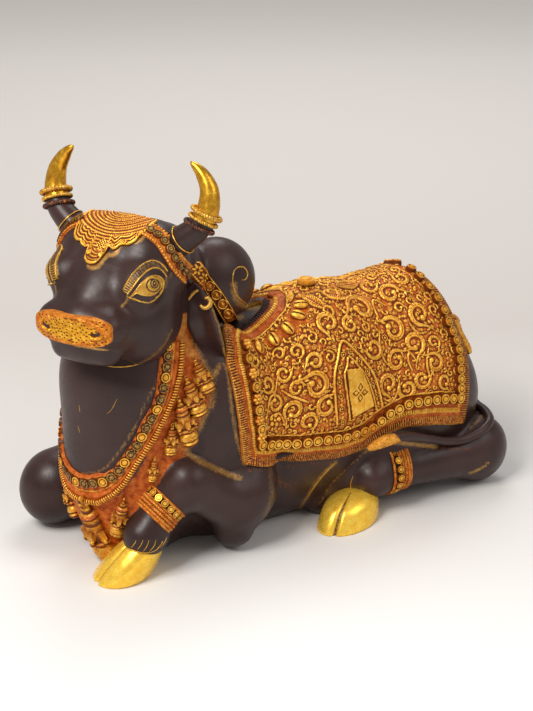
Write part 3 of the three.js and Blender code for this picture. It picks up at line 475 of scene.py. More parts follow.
class Ground:
    """Carving by place: each form raises the height of the points that it covers, or cuts it down."""

    def __init__(self, x, y):
        self.shape = x.shape
        self.x, self.y = x.ravel(), y.ravel()
        self.height = np.zeros(self.x.size)

    def near(self, x, y, reach):
        return np.flatnonzero((np.abs(self.x - x) < reach) & (np.abs(self.y - y) < reach))

    def raise_to(self, where, height):
        self.height[where] = np.maximum(self.height[where], height)

    def dome(self, x, y, rx, ry=None, height=1.5, turn=0.0, crown=0.5, power=2.0):
        ry = rx if ry is None else ry
        i = self.near(x, y, 1.1 * max(rx, ry))
        dx, dy, a = self.x[i] - x, self.y[i] - y, math.radians(turn)
        u, v = (dx * math.cos(a) + dy * math.sin(a)) / rx, (dy * math.cos(a) - dx * math.sin(a)) / ry
        r = (np.abs(u) ** power + np.abs(v) ** power) ** (1 / power)
        self.raise_to(i, np.where(r < 1, height * np.clip(1 - r * r, 0, 1) ** crown, -9))

    def ring(self, x, y, radius, width, height):
        i = self.near(x, y, radius + width)
        r = np.hypot(self.x[i] - x, self.y[i] - y)
        q = np.abs(r - radius) / (width / 2)
        self.raise_to(i, np.where(q < 1, height * np.sqrt(np.clip(1 - q * q, 0, 1)), -9))

    def distance(self, path, widths, i):
        """Distance to a path as a share of its width at the nearest place."""
        p = np.stack([self.x[i], self.y[i]], -1)
        best = np.full(len(i), 9.0)
        for a, b, wa, wb in zip(path[:-1], path[1:], widths[:-1], widths[1:]):
            ab = b - a
            t = np.clip(((p - a) @ ab) / max(ab @ ab, 1e-9), 0, 1)
            best = np.minimum(best, np.linalg.norm(p - a - t[:, None] * ab, axis=1) / (wa + (wb - wa) * t))
        return best

    def ridge(self, path, widths, height, groove=0.0, cut=False):
        path = np.asarray(path, float)
        widths = np.broadcast_to(np.asarray(widths, float), len(path))
        low, high = path.min(0) - widths.max(), path.max(0) + widths.max()
        i = np.flatnonzero((self.x > low[0]) & (self.x < high[0]) & (self.y > low[1]) & (self.y < high[1]))
        if not len(i):
            return
        q = self.distance(path, widths, i)
        form = np.sqrt(np.clip(1 - q * q, 0, 1)) * height
        if cut:
            self.height[i] -= form
            return
        form -= groove * np.clip(1 - q / 0.35, 0, 1)
        self.raise_to(i, np.where(q < 1, form, -9))

    def scroll(self, x, y, radius, start, hand, height=2.0):
        """A hatched curl of acanthus that swells to its rolled-in end and runs out in a leafy tail."""
        t = np.linspace(0, 1, 30)
        a = math.radians(start) + hand * math.radians(330) * t
        r = radius * (0.94 - 0.52 * t ** 1.2)
        path = np.stack([x + r * np.cos(a), y + r * np.sin(a)], -1)
        width = radius * (0.10 + 0.13 * np.sin(np.pi * np.clip(0.25 + 0.6 * t, 0, 1)) ** 2)
        self.ridge(path, width, height, height * 0.35)
        self.dome(path[-1, 0], path[-1, 1], radius * 0.25, height=height * 1.25)
        self.dome(path[-1, 0], path[-1, 1], radius * 0.09, height=height * 1.6)
        for k in range(4, 27, 2):
            w = 0.9 * width[k]
            outer, inner = r[k] + w, r[k] + 0.15 * w
            self.ridge([(x + outer * math.cos(a[k]), y + outer * math.sin(a[k])),
                        (x + inner * math.cos(a[k] + hand * 0.12), y + inner * math.sin(a[k] + hand * 0.12))],
                       0.34, 0.75, cut=True)
        way = np.array([math.sin(a[0]), -math.cos(a[0])]) * hand
        off = np.array([math.cos(a[0]), math.sin(a[0])])
        q = np.linspace(0, 1, 10)[:, None]
        tail = path[0] + radius * (1.15 * q * way + 0.42 * q ** 2 * off)
        self.ridge(tail, radius * (0.14 - 0.09 * q[:, 0]), height * 0.9, height * 0.3)
        for k, side in ((3, -1), (5, 1), (8, -1)):
            leaf = tail[k] + side * off * radius * 0.22
            turn = math.degrees(math.atan2(*way[::-1])) - side * 35
            self.dome(*leaf, radius * 0.22, radius * 0.11, height * 0.8, turn)

    def tendril(self, points, width=1.3, height=1.5):
        path = smooth_path(points, 6 * len(points))
        self.ridge(path, width * spread_values([0.5, 1, 1.1, 1, 0.4], len(path)), height, height * 0.25)

    def petal(self, x, y, length, width, turn, height=1.8):
        """A pointed petal with a rim, a vein and strokes beside it."""
        i = self.near(x, y, length * 0.6)
        dx, dy, a = self.x[i] - x, self.y[i] - y, math.radians(turn)
        u = (dx * math.cos(a) + dy * math.sin(a)) / (length / 2)
        v = (dy * math.cos(a) - dx * math.sin(a)) / (width / 2)
        side = np.clip(1 - u * u, 0, 1) ** 0.75
        q = np.abs(v) / np.maximum(side, 1e-3)
        form = height * (0.55 + 0.45 * np.clip((q - 0.62) / 0.2, 0, 1)) - height * 0.3 * (np.abs(v) < 0.1)
        form += 0.15 * height * np.cos(u * length * 1.6 + np.abs(v) * 4)
        self.raise_to(i, np.where((q < 1) & (np.abs(u) < 1), form, -9))

    def fill(self, spots, reach, height=1.1, bare=0.5):
        """Small curls, leaves and dots wherever the ground is still bare."""
        for x, y in spots:
            i = self.near(x, y, reach)
            if not len(i) or self.height[i].max() > bare:
                continue
            kind = rng.integers(4)
            start = rng.uniform(0, 360)
            if reach > 5:
                self.scroll(x, y, reach * 0.78, start, (1, -1)[kind % 2], height)
            elif kind == 0:
                self.dome(x, y, reach * 0.36, height=height)
                self.ring(x, y, reach * 0.74, 0.9, height * 0.75)
            elif kind == 1:
                self.dome(x, y, reach * 0.9, reach * 0.42, height, start)
                a = math.radians(start)
                way = np.array([math.cos(a), math.sin(a)]) * reach * 0.7
                self.ridge([(x - way[0], y - way[1]), (x + way[0], y + way[1])], 0.34, 0.7, cut=True)
            else:
                a = np.radians(start) + np.linspace(0, (1, -1)[kind - 2] * 4.6, 14)
                r = reach * np.linspace(0.95, 0.25, 14)
                self.ridge(np.stack([x + r * np.cos(a), y + r * np.sin(a)], -1), 0.95, height)

    def sheet(self):
        return self.height.reshape(self.shape)


def blurred(sheet, reach):
    """A sheet averaged over a square that reaches so many steps each way."""
    for axis in (0, 1):
        padded = np.pad(sheet, [(reach, reach) if k == axis else (0, 0) for k in (0, 1)], mode="edge")
        total = np.cumsum(padded, axis=axis)
        total = np.insert(total, 0, 0, axis=axis)
        n = sheet.shape[axis]
        upper = np.take(total, np.arange(n) + 2 * reach + 1, axis=axis)
        lower = np.take(total, np.arange(n), axis=axis)
        sheet = (upper - lower) / (2 * reach + 1)
    return sheet


def rubbed(sheet, spacing, gold=0.5):
    """How much gold rubbing leaves on a carved sheet, and how much grime with painted shade darkens its
    hollows.
    """
    above = sheet - blurred(sheet, max(int(round(2.0 / spacing)), 1))
    near = sheet - blurred(sheet, max(int(round(0.9 / spacing)), 1))
    gilt = np.clip(gold + 0.62 * above + 0.55 * near, 0, 1)
    # Hollows below their surroundings are darkened with grime and painted shade.
    grime = np.clip(-1.35 * above - 1.45 * near - 0.06, 0, 1)
    return gilt, grime


# Finishes

def node(tree, kind, inputs=None, **settings):
    """A new node with its inputs set or linked."""
    made = tree.nodes.new(kind)
    for key, value in settings.items():
        setattr(made, key, value)
    for key, value in (inputs or {}).items():
        if isinstance(value, bpy.types.NodeSocket):
            tree.links.new(value, made.inputs[key])
        else:
            made.inputs[key].default_value = value
    return made


def noise(tree, coordinates, scale, detail=4.0, rough=0.55):
    """A cloudy value from 0 to 1."""
    return node(tree, "ShaderNodeTexNoise", {"Vector": coordinates, "Scale": scale, "Detail": detail,
                                             "Roughness": rough}).outputs["Fac"]


def maths(tree, operation, a, b=0.0):
    """The result of an operation on one value or two."""
    return node(tree, "ShaderNodeMath", {0: a, 1: b}, operation=operation).outputs[0]


def between(tree, value, low, high, to_low=0.0, to_high=1.0):
    """A value moved from one span to another."""
    return node(tree, "ShaderNodeMapRange", {"Value": value, "From Min": low, "From Max": high,
                                             "To Min": to_low, "To Max": to_high}).outputs[0]


def mixed(tree, share, a, b):
    """A colour between two others."""
    made = node(tree, "ShaderNodeMix", data_type="RGBA")
    for socket, value in ((made.inputs[0], share), (made.inputs[6], a), (made.inputs[7], b)):
        if isinstance(value, bpy.types.NodeSocket):
            tree.links.new(value, socket)
        else:
            socket.default_value = value
    return made.outputs[2]


def ramp(tree, value, *stops):
    """The colour that a value has between stops."""
    made = node(tree, "ShaderNodeValToRGB", {"Fac": value})
    bar = made.color_ramp
    while len(bar.elements) < len(stops):
        bar.elements.new(0.5)
    for element, (place, colour) in zip(bar.elements, stops):
        element.position = place
        element.color = (*colour, 1)
    return made.outputs["Color"]


def patina(name, grime_colour, gloss, gold_gloss, tooth, full, golds, wear=1.0, metal=0.86):
    """Lacquered brass: dark lacquer, rust-orange ground and rubbed gold, each where it is marked, and grime
    with painted shade where that is marked.
    """
    material = bpy.data.materials.new(name)
    material.use_nodes = True
    tree = material.node_tree
    shader = tree.nodes["Principled BSDF"]
    place = node(tree, "ShaderNodeTexCoord").outputs["Object"]
    broad = noise(tree, place, 14, 5)
    small = noise(tree, place, 180, 5, 0.62)
    fleck = noise(tree, place, 430, 4, 0.66)
    grain = noise(tree, place, 900, 3, 0.6)
    mark = {key: node(tree, "ShaderNodeAttribute", attribute_name=key).outputs["Fac"]
            for key in ("gilt", "rust", "grime")}
    ragged = maths(tree, "SUBTRACT", maths(tree, "ADD", fleck, maths(tree, "MULTIPLY", grain, 0.8)), 0.9)
    ragged = maths(tree, "MULTIPLY", ragged, wear)
    gold = between(tree, maths(tree, "ADD", mark["gilt"], ragged), 0.30, full)
    rust = between(tree, maths(tree, "ADD", mark["rust"], ragged), 0.36, 0.62)
    grime = between(tree, maths(tree, "ADD", mark["grime"], maths(tree, "MULTIPLY", ragged, 0.4)), 0.25, 0.75)
    dark = ramp(tree, broad, (0.35, (0.023, 0.0098, 0.0082)), (0.68, (0.045, 0.0205, 0.0175)))
    red = ramp(tree, small, (0.3, (0.22, 0.028, 0.004)), (0.5, (0.43, 0.083, 0.010)),
               (0.72, (0.62, 0.19, 0.03)))
    yellow = ramp(tree, small, *zip((0.3, 0.5, 0.7), golds))
    colour = mixed(tree, rust, dark, red)
    colour = mixed(tree, gold, colour, yellow)
    # Grime and painted shade: a dark colour mixed in where hollows and grooves are marked.
    colour = mixed(tree, grime, colour, (*grime_colour, 1))
    tree.links.new(colour, shader.inputs["Base Color"])
    clean = maths(tree, "MULTIPLY", gold, maths(tree, "SUBTRACT", 1.0, grime))
    tree.links.new(maths(tree, "MULTIPLY", clean, metal), shader.inputs["Metallic"])
    dull = between(tree, small, 0.3, 0.7, *gloss)
    bright = between(tree, small, 0.3, 0.7, *gold_gloss)
    rough = node(tree, "ShaderNodeMix", {0: gold, 2: dull, 3: bright}).outputs[0]
    rough = node(tree, "ShaderNodeMix", {0: maths(tree, "MULTIPLY", rust, 0.5), 2: rough, 3: 0.5}).outputs[0]
    tree.links.new(rough, shader.inputs["Roughness"])
    relief = maths(tree, "ADD", grain, maths(tree, "MULTIPLY", small, 1.5))
    bump = node(tree, "ShaderNodeBump", {"Height": relief, "Strength": tooth, "Distance": 0.0006})
    tree.links.new(bump.outputs[0], shader.inputs["Normal"])
    tree.links.new(between(tree, rust, 0.0, 1.0, 0.30, 0.12), shader.inputs["Specular IOR Level"])
    return material


RUBBED_GOLD = ((0.70, 0.31, 0.028), (0.84, 0.44, 0.055), (0.96, 0.61, 0.13))
BRIGHT_GOLD = ((0.88, 0.50, 0.045), (0.96, 0.60, 0.065), (1.0, 0.69, 0.10))
OLD_GOLD = ((0.50, 0.215, 0.014), (0.66, 0.325, 0.022), (0.84, 0.49, 0.05))
HAZE_GOLD = ((0.60, 0.29, 0.055), (0.74, 0.39, 0.085), (0.88, 0.53, 0.14))
LACQUER = {"grime_colour": (0.040, 0.014, 0.007), "gloss": (0.29, 0.43), "gold_gloss": (0.28, 0.42),
           "tooth": 0.12, "full": 1.1, "wear": 0.55}
lacquered = patina("aubergine_lacquer", golds=RUBBED_GOLD, **LACQUER)
hazed = patina("hazed_lacquer", golds=HAZE_GOLD, **LACQUER)
carved = patina("rubbed_carving", (0.12, 0.026, 0.003), (0.35, 0.5), (0.26, 0.44), 0.18, 0.78, RUBBED_GOLD)
polished = patina("polished_gold", (0.10, 0.026, 0.004), (0.27, 0.40), (0.22, 0.32), 0.02, 0.74,
                  BRIGHT_GOLD, metal=0.55)
worn = patina("worn_gold", (0.07, 0.018, 0.003), (0.27, 0.40), (0.18, 0.30), 0.05, 0.80, OLD_GOLD)


# Hide and head

def grounded(field):
    """A mass cut off flat at the ground."""
    return lambda p: np.maximum(field(p), -p[..., 2])


def near_path(points, path, reach, steps=3.0):
    """1 on a path in space, falling to 0 at a distance from it."""
    path = np.asarray(path, float)
    length = np.linalg.norm(np.diff(path, axis=0), axis=1).sum()
    fine = smooth_path(path, max(int(length / steps), 4)) if len(path) > 1 else path
    best = np.full(len(points), 9e9)
    close = ((points > fine.min(0) - reach) & (points < fine.max(0) + reach)).all(1)
    some = points[close]
    if len(some):
        best[close] = np.min([np.linalg.norm(some - q, axis=1) for q in fine], 0)
    return np.clip(1 - best / reach, 0, 1)


# Where gold is rubbed on the hide, as drawn in the view: a line, how far round it and how strongly
RUBBED = [
    ([(219, 366), (210, 385), (201, 400), (196, 415), (188, 430), (180, 448)], 6.5, 0.58),
    ([(180, 447), (196, 459), (210, 466), (225, 473), (240, 478)], 6, 0.60),
    ([(270, 470), (272, 495), (266, 515), (260, 535)], 6, 0.42),
    ([(160, 365), (157, 382), (147, 400), (135, 427), (120, 450), (102, 470), (75, 475)], 3.6, 0.55),
    ([(234, 285), (235, 295), (240, 303), (249, 307), (257, 306), (264, 300)], 7, 0.62),
    ([(228, 311), (234, 318), (242, 317)], 6, 0.60),
    ([(225, 364), (228, 376), (232, 410), (237, 440), (244, 464)], 4, 0.62),
    ([(186, 318), (181, 330), (186, 344), (193, 356)], 8, 0.72),
    ([(336, 462), (320, 478), (300, 508)], 4, 0.62),
    ([(330, 452), (350, 447), (372, 446)], 12, 0.55),
    ([(388, 442), (410, 444), (436, 447)], 4, 0.75),
    ([(470, 428), (478, 420), (484, 412)], 4, 0.5),
    ([(470, 473), (480, 469), (488, 463)], 2.4, 0.8),
]
# Where the rust ground shows through on the hide, in the same way
WORN = [
    ([(276, 478), (290, 488)], 20, 0.42),
    ([(250, 470), (330, 462)], 8, 0.46),
    ([(420, 447), (470, 449)], 5, 0.5),
    ([(186, 318), (183, 335), (190, 352)], 9, 0.9),
]
# The same along creases out of the view, in space
CREASES = [
    ([(36, -50, 7), (43, -61, 21), (52, -66, 40), (64, -71, 53), (86, -76, 70)], 3.5, 0.62),
    ([(205, -84, 104), (222, -80, 90), (236, -76, 78)], 6, 0.5),
]


def rubbed_lines(points, lines):
    """Gold rubbed along lines of the view."""
    gilt = np.zeros(len(points))
    places = in_view(points)
    for path, reach, strength in lines:
        path = np.asarray(path, float)
        close = ((places > path.min(0) - reach) & (places < path.max(0) + reach)).all(1)
        line = smooth_path(path, 8 * len(path))
        best = np.min([np.linalg.norm(places[close] - q, axis=1) for q in line], 0)
        gilt[close] = np.maximum(gilt[close], strength * np.clip(1 - best / reach, 0, 1) ** 0.7)
    return gilt


# The necklace's turn round the neck, its rosette row and the rust ground's rim, as angles and heights
NECKLACE_TURN = 12
NECKLACE_ROW = [(0, 89), (18, 93), (34, 104), (45, 120), (55, 136), (68, 165), (77, 184), (84, 206),
                (96, 240)]
NECKLACE_RIM = [(0, 70), (15, 73), (36, 84), (53, 107), (70, 136), (84, 160), (93, 181), (102, 206),
                (116, 240)]
NECKLACE_BEHIND = [(0, 52), (80, 84), (120, 98), (170, 112), (215, 117)]
NECK_SKIN = 2.5
FAR_SIDE = 12
HIDE_CELL = 3.3
HIDE_LOW = at(-240, -118, 0)
HIDE_HIGH = at(292, 140, 345)


def make_hide():
    """The bare hide, rubbed to gold along its creases and rust-orange round the bells."""
    points, faces = skin(grounded(hide), HIDE_LOW, HIDE_HIGH, HIDE_CELL)
    points[:, 2] = np.maximum(points[:, 2], 0)
    x, y, z = points.T
    near_side = np.where(y[:, None] > FAR_SIDE, points * (1, -1, 1), points)
    gilt = rubbed_lines(near_side, RUBBED)
    for path, reach, strength in CREASES:
        for s in SIDES:
            flipped = [(px, py * s, pz) for px, py, pz in path]
            gilt = np.maximum(gilt, strength * near_path(points, flipped, reach) ** 0.8)
    turn = np.abs(np.degrees(np.arctan2(-y, -(x - CHEST[0]))) - NECKLACE_TURN)
    rim = np.where(turn > 60, table(NECKLACE_ROW, turn) + 12, table(NECKLACE_RIM, turn))
    off_neck = np.abs(body(points))
    inside = np.minimum.reduce([(rim - z) / 4, (table(NECKLACE_BEHIND, z) - turn) / 5,
                                (NECK_SKIN - off_neck) / 2])
    edge = np.clip(1 - np.abs(inside + 0.1) / 0.9, 0, 1) * (off_neck < NECK_SKIN)
    gilt = np.maximum(gilt, 0.55 * edge * (inside > -2) * (z < rim))
    rust = np.maximum(np.clip(0.5 + 0.5 * inside, 0, 1), rubbed_lines(near_side, WORN))
    thing = piece("hide", points, faces, hazed, gilt=gilt, rust=0.9 * rust)
    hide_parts("nandi_bull")


# Gold rubbed on the head: round the brow plate, beside the headband, at the eye's corner and on the lips
HEAD_RUBBED = [
    ([(73, 232), (75, 239), (79, 248), (82, 258), (88, 266), (97, 267), (104, 259), (108, 255), (115, 254),
      (120, 246), (128, 243), (138, 241), (146, 234), (155, 235), (161, 247), (168, 257), (175, 266),
      (183, 275)], 4.5, 0.72),
    ([(128, 298), (125, 303), (122, 306)], 3, 0.6),
    ([(165, 287), (168, 279), (172, 274)], 4, 0.45),
    ([(172, 330), (160, 350), (140, 364)], 4, 0.45),
]
LIPS = [(117, -26, 249), (118, 0, 249), (113, 26, 249), (104, 34, 250)]
HEAD_CELL = 1.65
HEAD_LOW = at(-285, -135, 195)
HEAD_HIGH = at(-45, 95, 370)


def make_head():
    """The head's skin."""
    points, faces = skin(head, HEAD_LOW, HEAD_HIGH, HEAD_CELL)
    gilt = near_path(points, [on_head(*p) for p in LIPS], 2.6, 1.0) ** 0.6
    aside = (points - POLL) @ ASIDE
    seen_side = np.where(aside[:, None] > -6, points, over_muzzle(points))
    gilt = np.maximum(gilt, rubbed_lines(seen_side, HEAD_RUBBED))
    piece("head", points, faces, hazed, gilt=gilt, rust=0)


# The saddle cloth

# The shells on it: how far back, how far round in degrees, and their turn
COWRIES = [(37, 12, 70), (28, 16, 50), (12, 19.6, 20), (-5, 21.2, 5), (-27.5, 23.3, -20)]
CLOTH_AXIS = 90
CLOTH_RISE = 4.0
SINK = 7.0
FRINGE = 13.0
BORDER_FIELD = 26.0
# About how long the cloth and its girth are, for the number of points
CLOTH_LENGTH = 282
CLOTH_DROP = 176
# Where its edges run: how far back at each degree from the spine, and how far down at each share
# of its length
CLOTH_FRONT = [(0, 11), (1, 10.5), (2, 8.5), (3.2, 5), (4.2, 1), (5.2, -6), (6, -13), (7.2, -24), (9, -38),
               (12, -51), (16, -61), (20, -68), (30, -74), (40, -72), (55, -69), (84, -63)]
CLOTH_REAR = [(0, 200), (12, 208), (25, 217), (46, 222), (62, 215), (83, 208), (98, 202)]
CLOTH_HEM = [(0, 84), (0.22, 95), (0.43, 101), (0.54, 99), (0.61, 92), (0.7, 88), (0.83, 91), (1, 98)]


def over_trunk(x, degrees, side):
    """Places on the trunk at an angle from straight up, to the bull's left for side 1."""
    a = np.radians(degrees)
    way = np.stack([np.zeros_like(a), -side * np.sin(a), np.cos(a)], -1)
    start = np.stack([x, np.zeros(np.shape(x)), np.full(np.shape(x), CLOTH_AXIS)], -1)
    return draped(trunk, start, way)


# How far down the side each degree from the spine lies, at one place along the barrel
GIRTH_AT = 70.0
GIRTH_DEGREES = np.arange(0, 112.0)
GIRTH = run_along(over_trunk(np.full(len(GIRTH_DEGREES), GIRTH_AT), GIRTH_DEGREES, 1))


# Where the cloth lifts over the foreleg: from which angle down and from which place forwards
LIFT_FROM_ANGLE = 58
LIFT_FROM_PLACE = 14


def over_foreleg(base, out, degrees):
    """The same places lifted clear of the foreleg, at the cloth's lower front corner."""
    share = (np.clip((degrees - LIFT_FROM_ANGLE) / 14, 0, 1)
             * np.clip((LIFT_FROM_PLACE - base[:, 0]) / 18, 0, 1))
    corner = share > 0
    lifted = base[corner]
    for _ in range(16):
        lifted = lifted + out[corner] * (share[corner] * np.clip(1 - hide(lifted), 0, 9))[:, None]
    base = base.copy()
    base[corner] = lifted
    return base


def down(degrees):
    """How far down the side an angle from the spine lies."""
    return np.interp(degrees, GIRTH_DEGREES, GIRTH)


def cloth_grid(a, b):
    """Where shares of the cloth's length and of its drop lie: how far back, and degrees from the spine."""
    degrees = b * table(CLOTH_HEM, a)
    front, rear = table(CLOTH_FRONT, degrees), table(CLOTH_REAR, degrees)
    return front + (rear - front) * a, degrees


UPRIGHT_STEPS = 90
HEM_STEPS = 150


def cloth_edge():
    """The cloth's edge from the spine in front, down, along the hem and up to the spine behind."""
    rise = np.linspace(0, 1, UPRIGHT_STEPS)
    front = cloth_grid(np.zeros(UPRIGHT_STEPS), rise)
    hem = cloth_grid(np.linspace(0, 1, HEM_STEPS), np.ones(HEM_STEPS))
    rear = cloth_grid(np.ones(UPRIGHT_STEPS), rise[::-1])
    x = np.concatenate([front[0], hem[0][1:], rear[0][1:]])
    degrees = np.concatenate([front[1], hem[1][1:], rear[1][1:]])
    return np.stack([x, down(degrees)], -1)


# Scrolls of the cloth's field: place along the back, angle, radius, where they start and their hand
SCROLLS = [
    (26, 37, 9, 200, 1), (11, 30, 8, 60, -1), (22, 48, 14, 250, 1), (-30, 40, 9, 120, -1),
    (-24, 50, 9, 300, 1), (-4, 57, 11, 160, 1), (10, 66, 10, 40, -1), (30, 60, 11, 280, -1),
    (-8, 37, 9, 20, 1), (2, 46, 8, 330, -1),
    (100, 19, 16, 200, 1), (96, 38, 11, 150, -1), (128, 31, 14, 250, 1), (148, 40, 13, 60, -1),
    (122, 46, 12, 300, -1), (107, 57, 12, 120, 1), (129, 63, 11, 200, -1), (147, 60, 10, 20, 1),
    (166, 53, 11, 260, 1), (166, 27, 13, 100, 1), (144, 15, 12, 330, -1), (54, 23, 12, 140, 1),
    (77, 26, 9, 280, -1), (172, 42, 8, 40, -1), (78, 10, 9, 180, -1), (128, 8, 10, 30, 1),
    (168, 9, 9, 200, -1),
    (174, 65, 8, 100, 1), (-44, 30, 7, 0, 1), (-6, 28, 7, 200, 1), (60, 18, 7, 90, -1),
]
TENDRILS = [
    [(-36, 55), (-30, 47), (-22, 44), (-16, 38)], [(-12, 66), (-16, 60), (-20, 56), (-30, 56)],
    [(12, 55), (4, 52), (-6, 48), (-14, 44)], [(22, 66), (20, 60), (26, 54), (36, 52)],
    [(112, 48), (106, 44), (104, 38), (110, 30)], [(138, 54), (136, 48), (140, 44), (146, 50)],
    [(158, 62), (156, 56), (158, 50), (164, 44)], [(116, 26), (116, 20), (122, 16), (132, 20)],
    [(118, 62), (114, 66), (108, 68), (102, 66)], [(150, 30), (154, 34), (160, 36), (168, 36)],
]
PETALS = [(52, 12, 26, 13, 60), (80, 11, 28, 15, 20), (106, 5, 30, 16, -6), (34, 5, 20, 11, 120)]
FLORET = (-26, 59)
FLORET_PETALS = 5
# Small forms that fill the bare ground: how far each reaches, its height, and how many places are tried
FILLS = [(7.5, 1.9, 2500), (4.2, 1.5, 4000), (2.7, 1.2, 6000), (1.7, 0.9, 9000)]
FILL_BACK = (-75, 225)
FILL_DOWN = (0, 190)
SHELL_ROOM = 9.5
ARCH_OUTER = [(41, 72), (40, 58), (42, 47), (50, 39), (61, 32), (73, 38), (87, 48), (93, 58), (97, 69)]
ARCH_INNER = [(56, 72), (54, 58), (54, 47), (59, 43), (63, 39), (70, 43), (79, 50), (85, 60), (89, 69)]
ARCH_PLATE = [(60, 70.5), (57, 58), (58.5, 45), (74, 46), (80, 55), (85.5, 67)]


def inside_outline(x, y, outline):
    """Which places lie inside a closed outline."""
    outline = np.asarray(outline, float)
    inside = np.zeros(len(x), bool)
    for (x0, y0), (x1, y1) in zip(outline, np.roll(outline, -1, 0)):
        crosses = (y0 > y) != (y1 > y)
        inside ^= crosses & (x < (x1 - x0) * (y - y0) / ((y1 - y0) or 1e-9) + x0)
    return inside


def drawn(places):
    """Places given in degrees from the spine, in millimetres down the side."""
    return np.array([(x, down(degrees)) for x, degrees in places])


def carve_arch(ground):
    """The pointed arch: two mouldings with florets between, and a plain plate with a four-petal mark."""
    outer, inner, plate = (drawn(p) for p in (ARCH_OUTER, ARCH_INNER, ARCH_PLATE))
    ground.height[inside_outline(ground.x, ground.y, outer)] = 0
    between_lines = smooth_path((outer + inner) / 2, 34)
    for k, (x, y) in enumerate(between_lines):
        if k % 3 == 0:
            ground.ring(x, y, 2.6, 1.0, 1.1)
            ground.dome(x, y, 1.1, height=1.2)
        else:
            ground.dome(x + 0.8 * (k % 3 - 1.5), y, 1.3, 1.9, 1.0, 30 * k)
    ground.ridge(smooth_path(outer, 60), 1.35, 2.4)
    ground.ridge(smooth_path(inner, 60), 1.0, 2.0)
    on_plate = inside_outline(ground.x, ground.y, plate)
    ground.height[on_plate] = 1.5
    ground.ridge(np.vstack([plate, plate[:1]]), 0.8, 1.9)
    middle = plate.mean(0) + (0.5, 2)
    for turn in range(0, 360, 90):
        a = math.radians(turn + 8)
        way = np.array([math.cos(a), math.sin(a)])
        across = np.array([-way[1], way[0]])
        loop = [middle + way * 1.8, middle + way * 5 + across * 2.6, middle + way * 9,
                middle + way * 5 - across * 2.6, middle + way * 1.8]
        ground.ridge(loop, 0.7, 0.9, cut=True)
    for aside, turn in ((-4, 30), (1, -30)):
        ground.dome(middle[0] + aside, plate[:, 1].min() - 6, 2.4, 1.6, 1.5, turn)
    return on_plate


def make_cloth_part(name, side, start, end, spacing):
    """A length of the cloth on one side of the spine: its field carved with foliage."""
    columns = int((end - start) * CLOTH_LENGTH / spacing)
    rows = int(CLOTH_DROP / spacing)
    a, b = np.meshgrid(np.linspace(start, end, columns), np.linspace(0, 1, rows), indexing="ij")
    x, degrees = cloth_grid(a.ravel(), b.ravel())
    ground = Ground(x.reshape(a.shape), down(degrees).reshape(a.shape))
    spots = np.random.default_rng(3)
    for sx, phi, radius, turn, hand in SCROLLS:
        ground.scroll(sx, float(down(phi)), radius, turn, hand, 2.1)
    for line in TENDRILS:
        ground.tendril(drawn(line))
    for px, phi, length, width, turn in PETALS:
        ground.petal(px, float(down(phi)), length, width, turn, 2.2)
    fx, fy = FLORET[0], float(down(FLORET[1]))
    for k in range(FLORET_PETALS):
        t = math.radians(360 / FLORET_PETALS * k)
        ground.dome(fx + 5 * math.cos(t), fy + 5 * math.sin(t), 2.7, height=1.9)
    ground.dome(fx, fy, 1.8, height=2.2)
    for reach, height, tries in FILLS:
        ground.fill(zip(spots.uniform(*FILL_BACK, tries), spots.uniform(*FILL_DOWN, tries)), reach, height)
    plate = carve_arch(ground)
    edge = cloth_edge()
    inset = edge_inset(ground, edge)
    plain = inset < BORDER_FIELD
    for shell, phi, _ in COWRIES:
        plain |= np.hypot(ground.x - shell, ground.y - float(down(phi))) < SHELL_ROOM
    ground.height = np.where(plain, 0.0, ground.height)
    ground.raise_to(np.flatnonzero(np.abs(inset - BORDER_FIELD) < 0.8), 1.0)
    ground.height += np.random.default_rng(5).normal(0, 0.05, ground.height.size)
    ground.height = np.where(inset < FRINGE, -3.0, ground.height)
    base = over_trunk(x, degrees, side)
    out = unit(slope(trunk, base))
    base = over_foreleg(base, out, degrees)
    # Painted shade with grime in the carving's hollows, gold on its highs.
    gilt, grime = rubbed(ground.sheet(), spacing, 0.40)
    gilt = np.where(plate, 0.9 + 0.5 * np.minimum(ground.height - 1.5, 0), gilt.ravel())
    gilt = np.where(plain & (ground.height < 0.5), 0.16, gilt)
    slab_piece(name, base + out * (CLOTH_RISE + ground.height)[:, None], base - out * SINK, a.shape, carved,
               gilt=gilt, rust=1.0, grime=grime.ravel())


def edge_inset(ground, edge):
    """How far each place lies in from the cloth's edge; the border's width differs from side to side."""
    corner_front = UPRIGHT_STEPS - 1
    corner_rear = corner_front + HEM_STEPS - 1
    runs = [(edge[:corner_front + 1], 1.05), (edge[corner_front:corner_rear + 1], 0.8),
            (edge[corner_rear:], 1.1)]
    p = np.stack([ground.x, ground.y], -1)
    best = np.full(len(p), 999.0)
    for line, share in runs:
        for a, b in zip(line[:-1:3], line[3::3]):
            ab = b - a
            t = np.clip(((p - a) @ ab) / max(ab @ ab, 1e-9), 0, 1)
            best = np.minimum(best, share * np.linalg.norm(p - a - t[:, None] * ab, axis=1))
    return best


def make_cloth():
    """The field of the saddle cloth, in two lengths on the left and one on the right."""
    coarse = 1.6
    fine = 0.76
    make_cloth_part("cloth_left_front", 1, 0.0, 0.5, fine)
    make_cloth_part("cloth_left_rear", 1, 0.5, 1.0, fine)
    make_cloth_part("cloth_right", -1, 0.0, 1.0, coarse)


# Borders of the cloth

EDGE_STEPS = 900
EDGE_REACH = 20
# Width of the comb and of the plain fillet beside it along each edge
STRIPS = {"front": (8.2, 2.4), "hem": (9.5, 3.0), "rear": (10.0, 4.0)}
TOOTH = 2.3
TICK = 1.9
TICK_BAND = 4.8


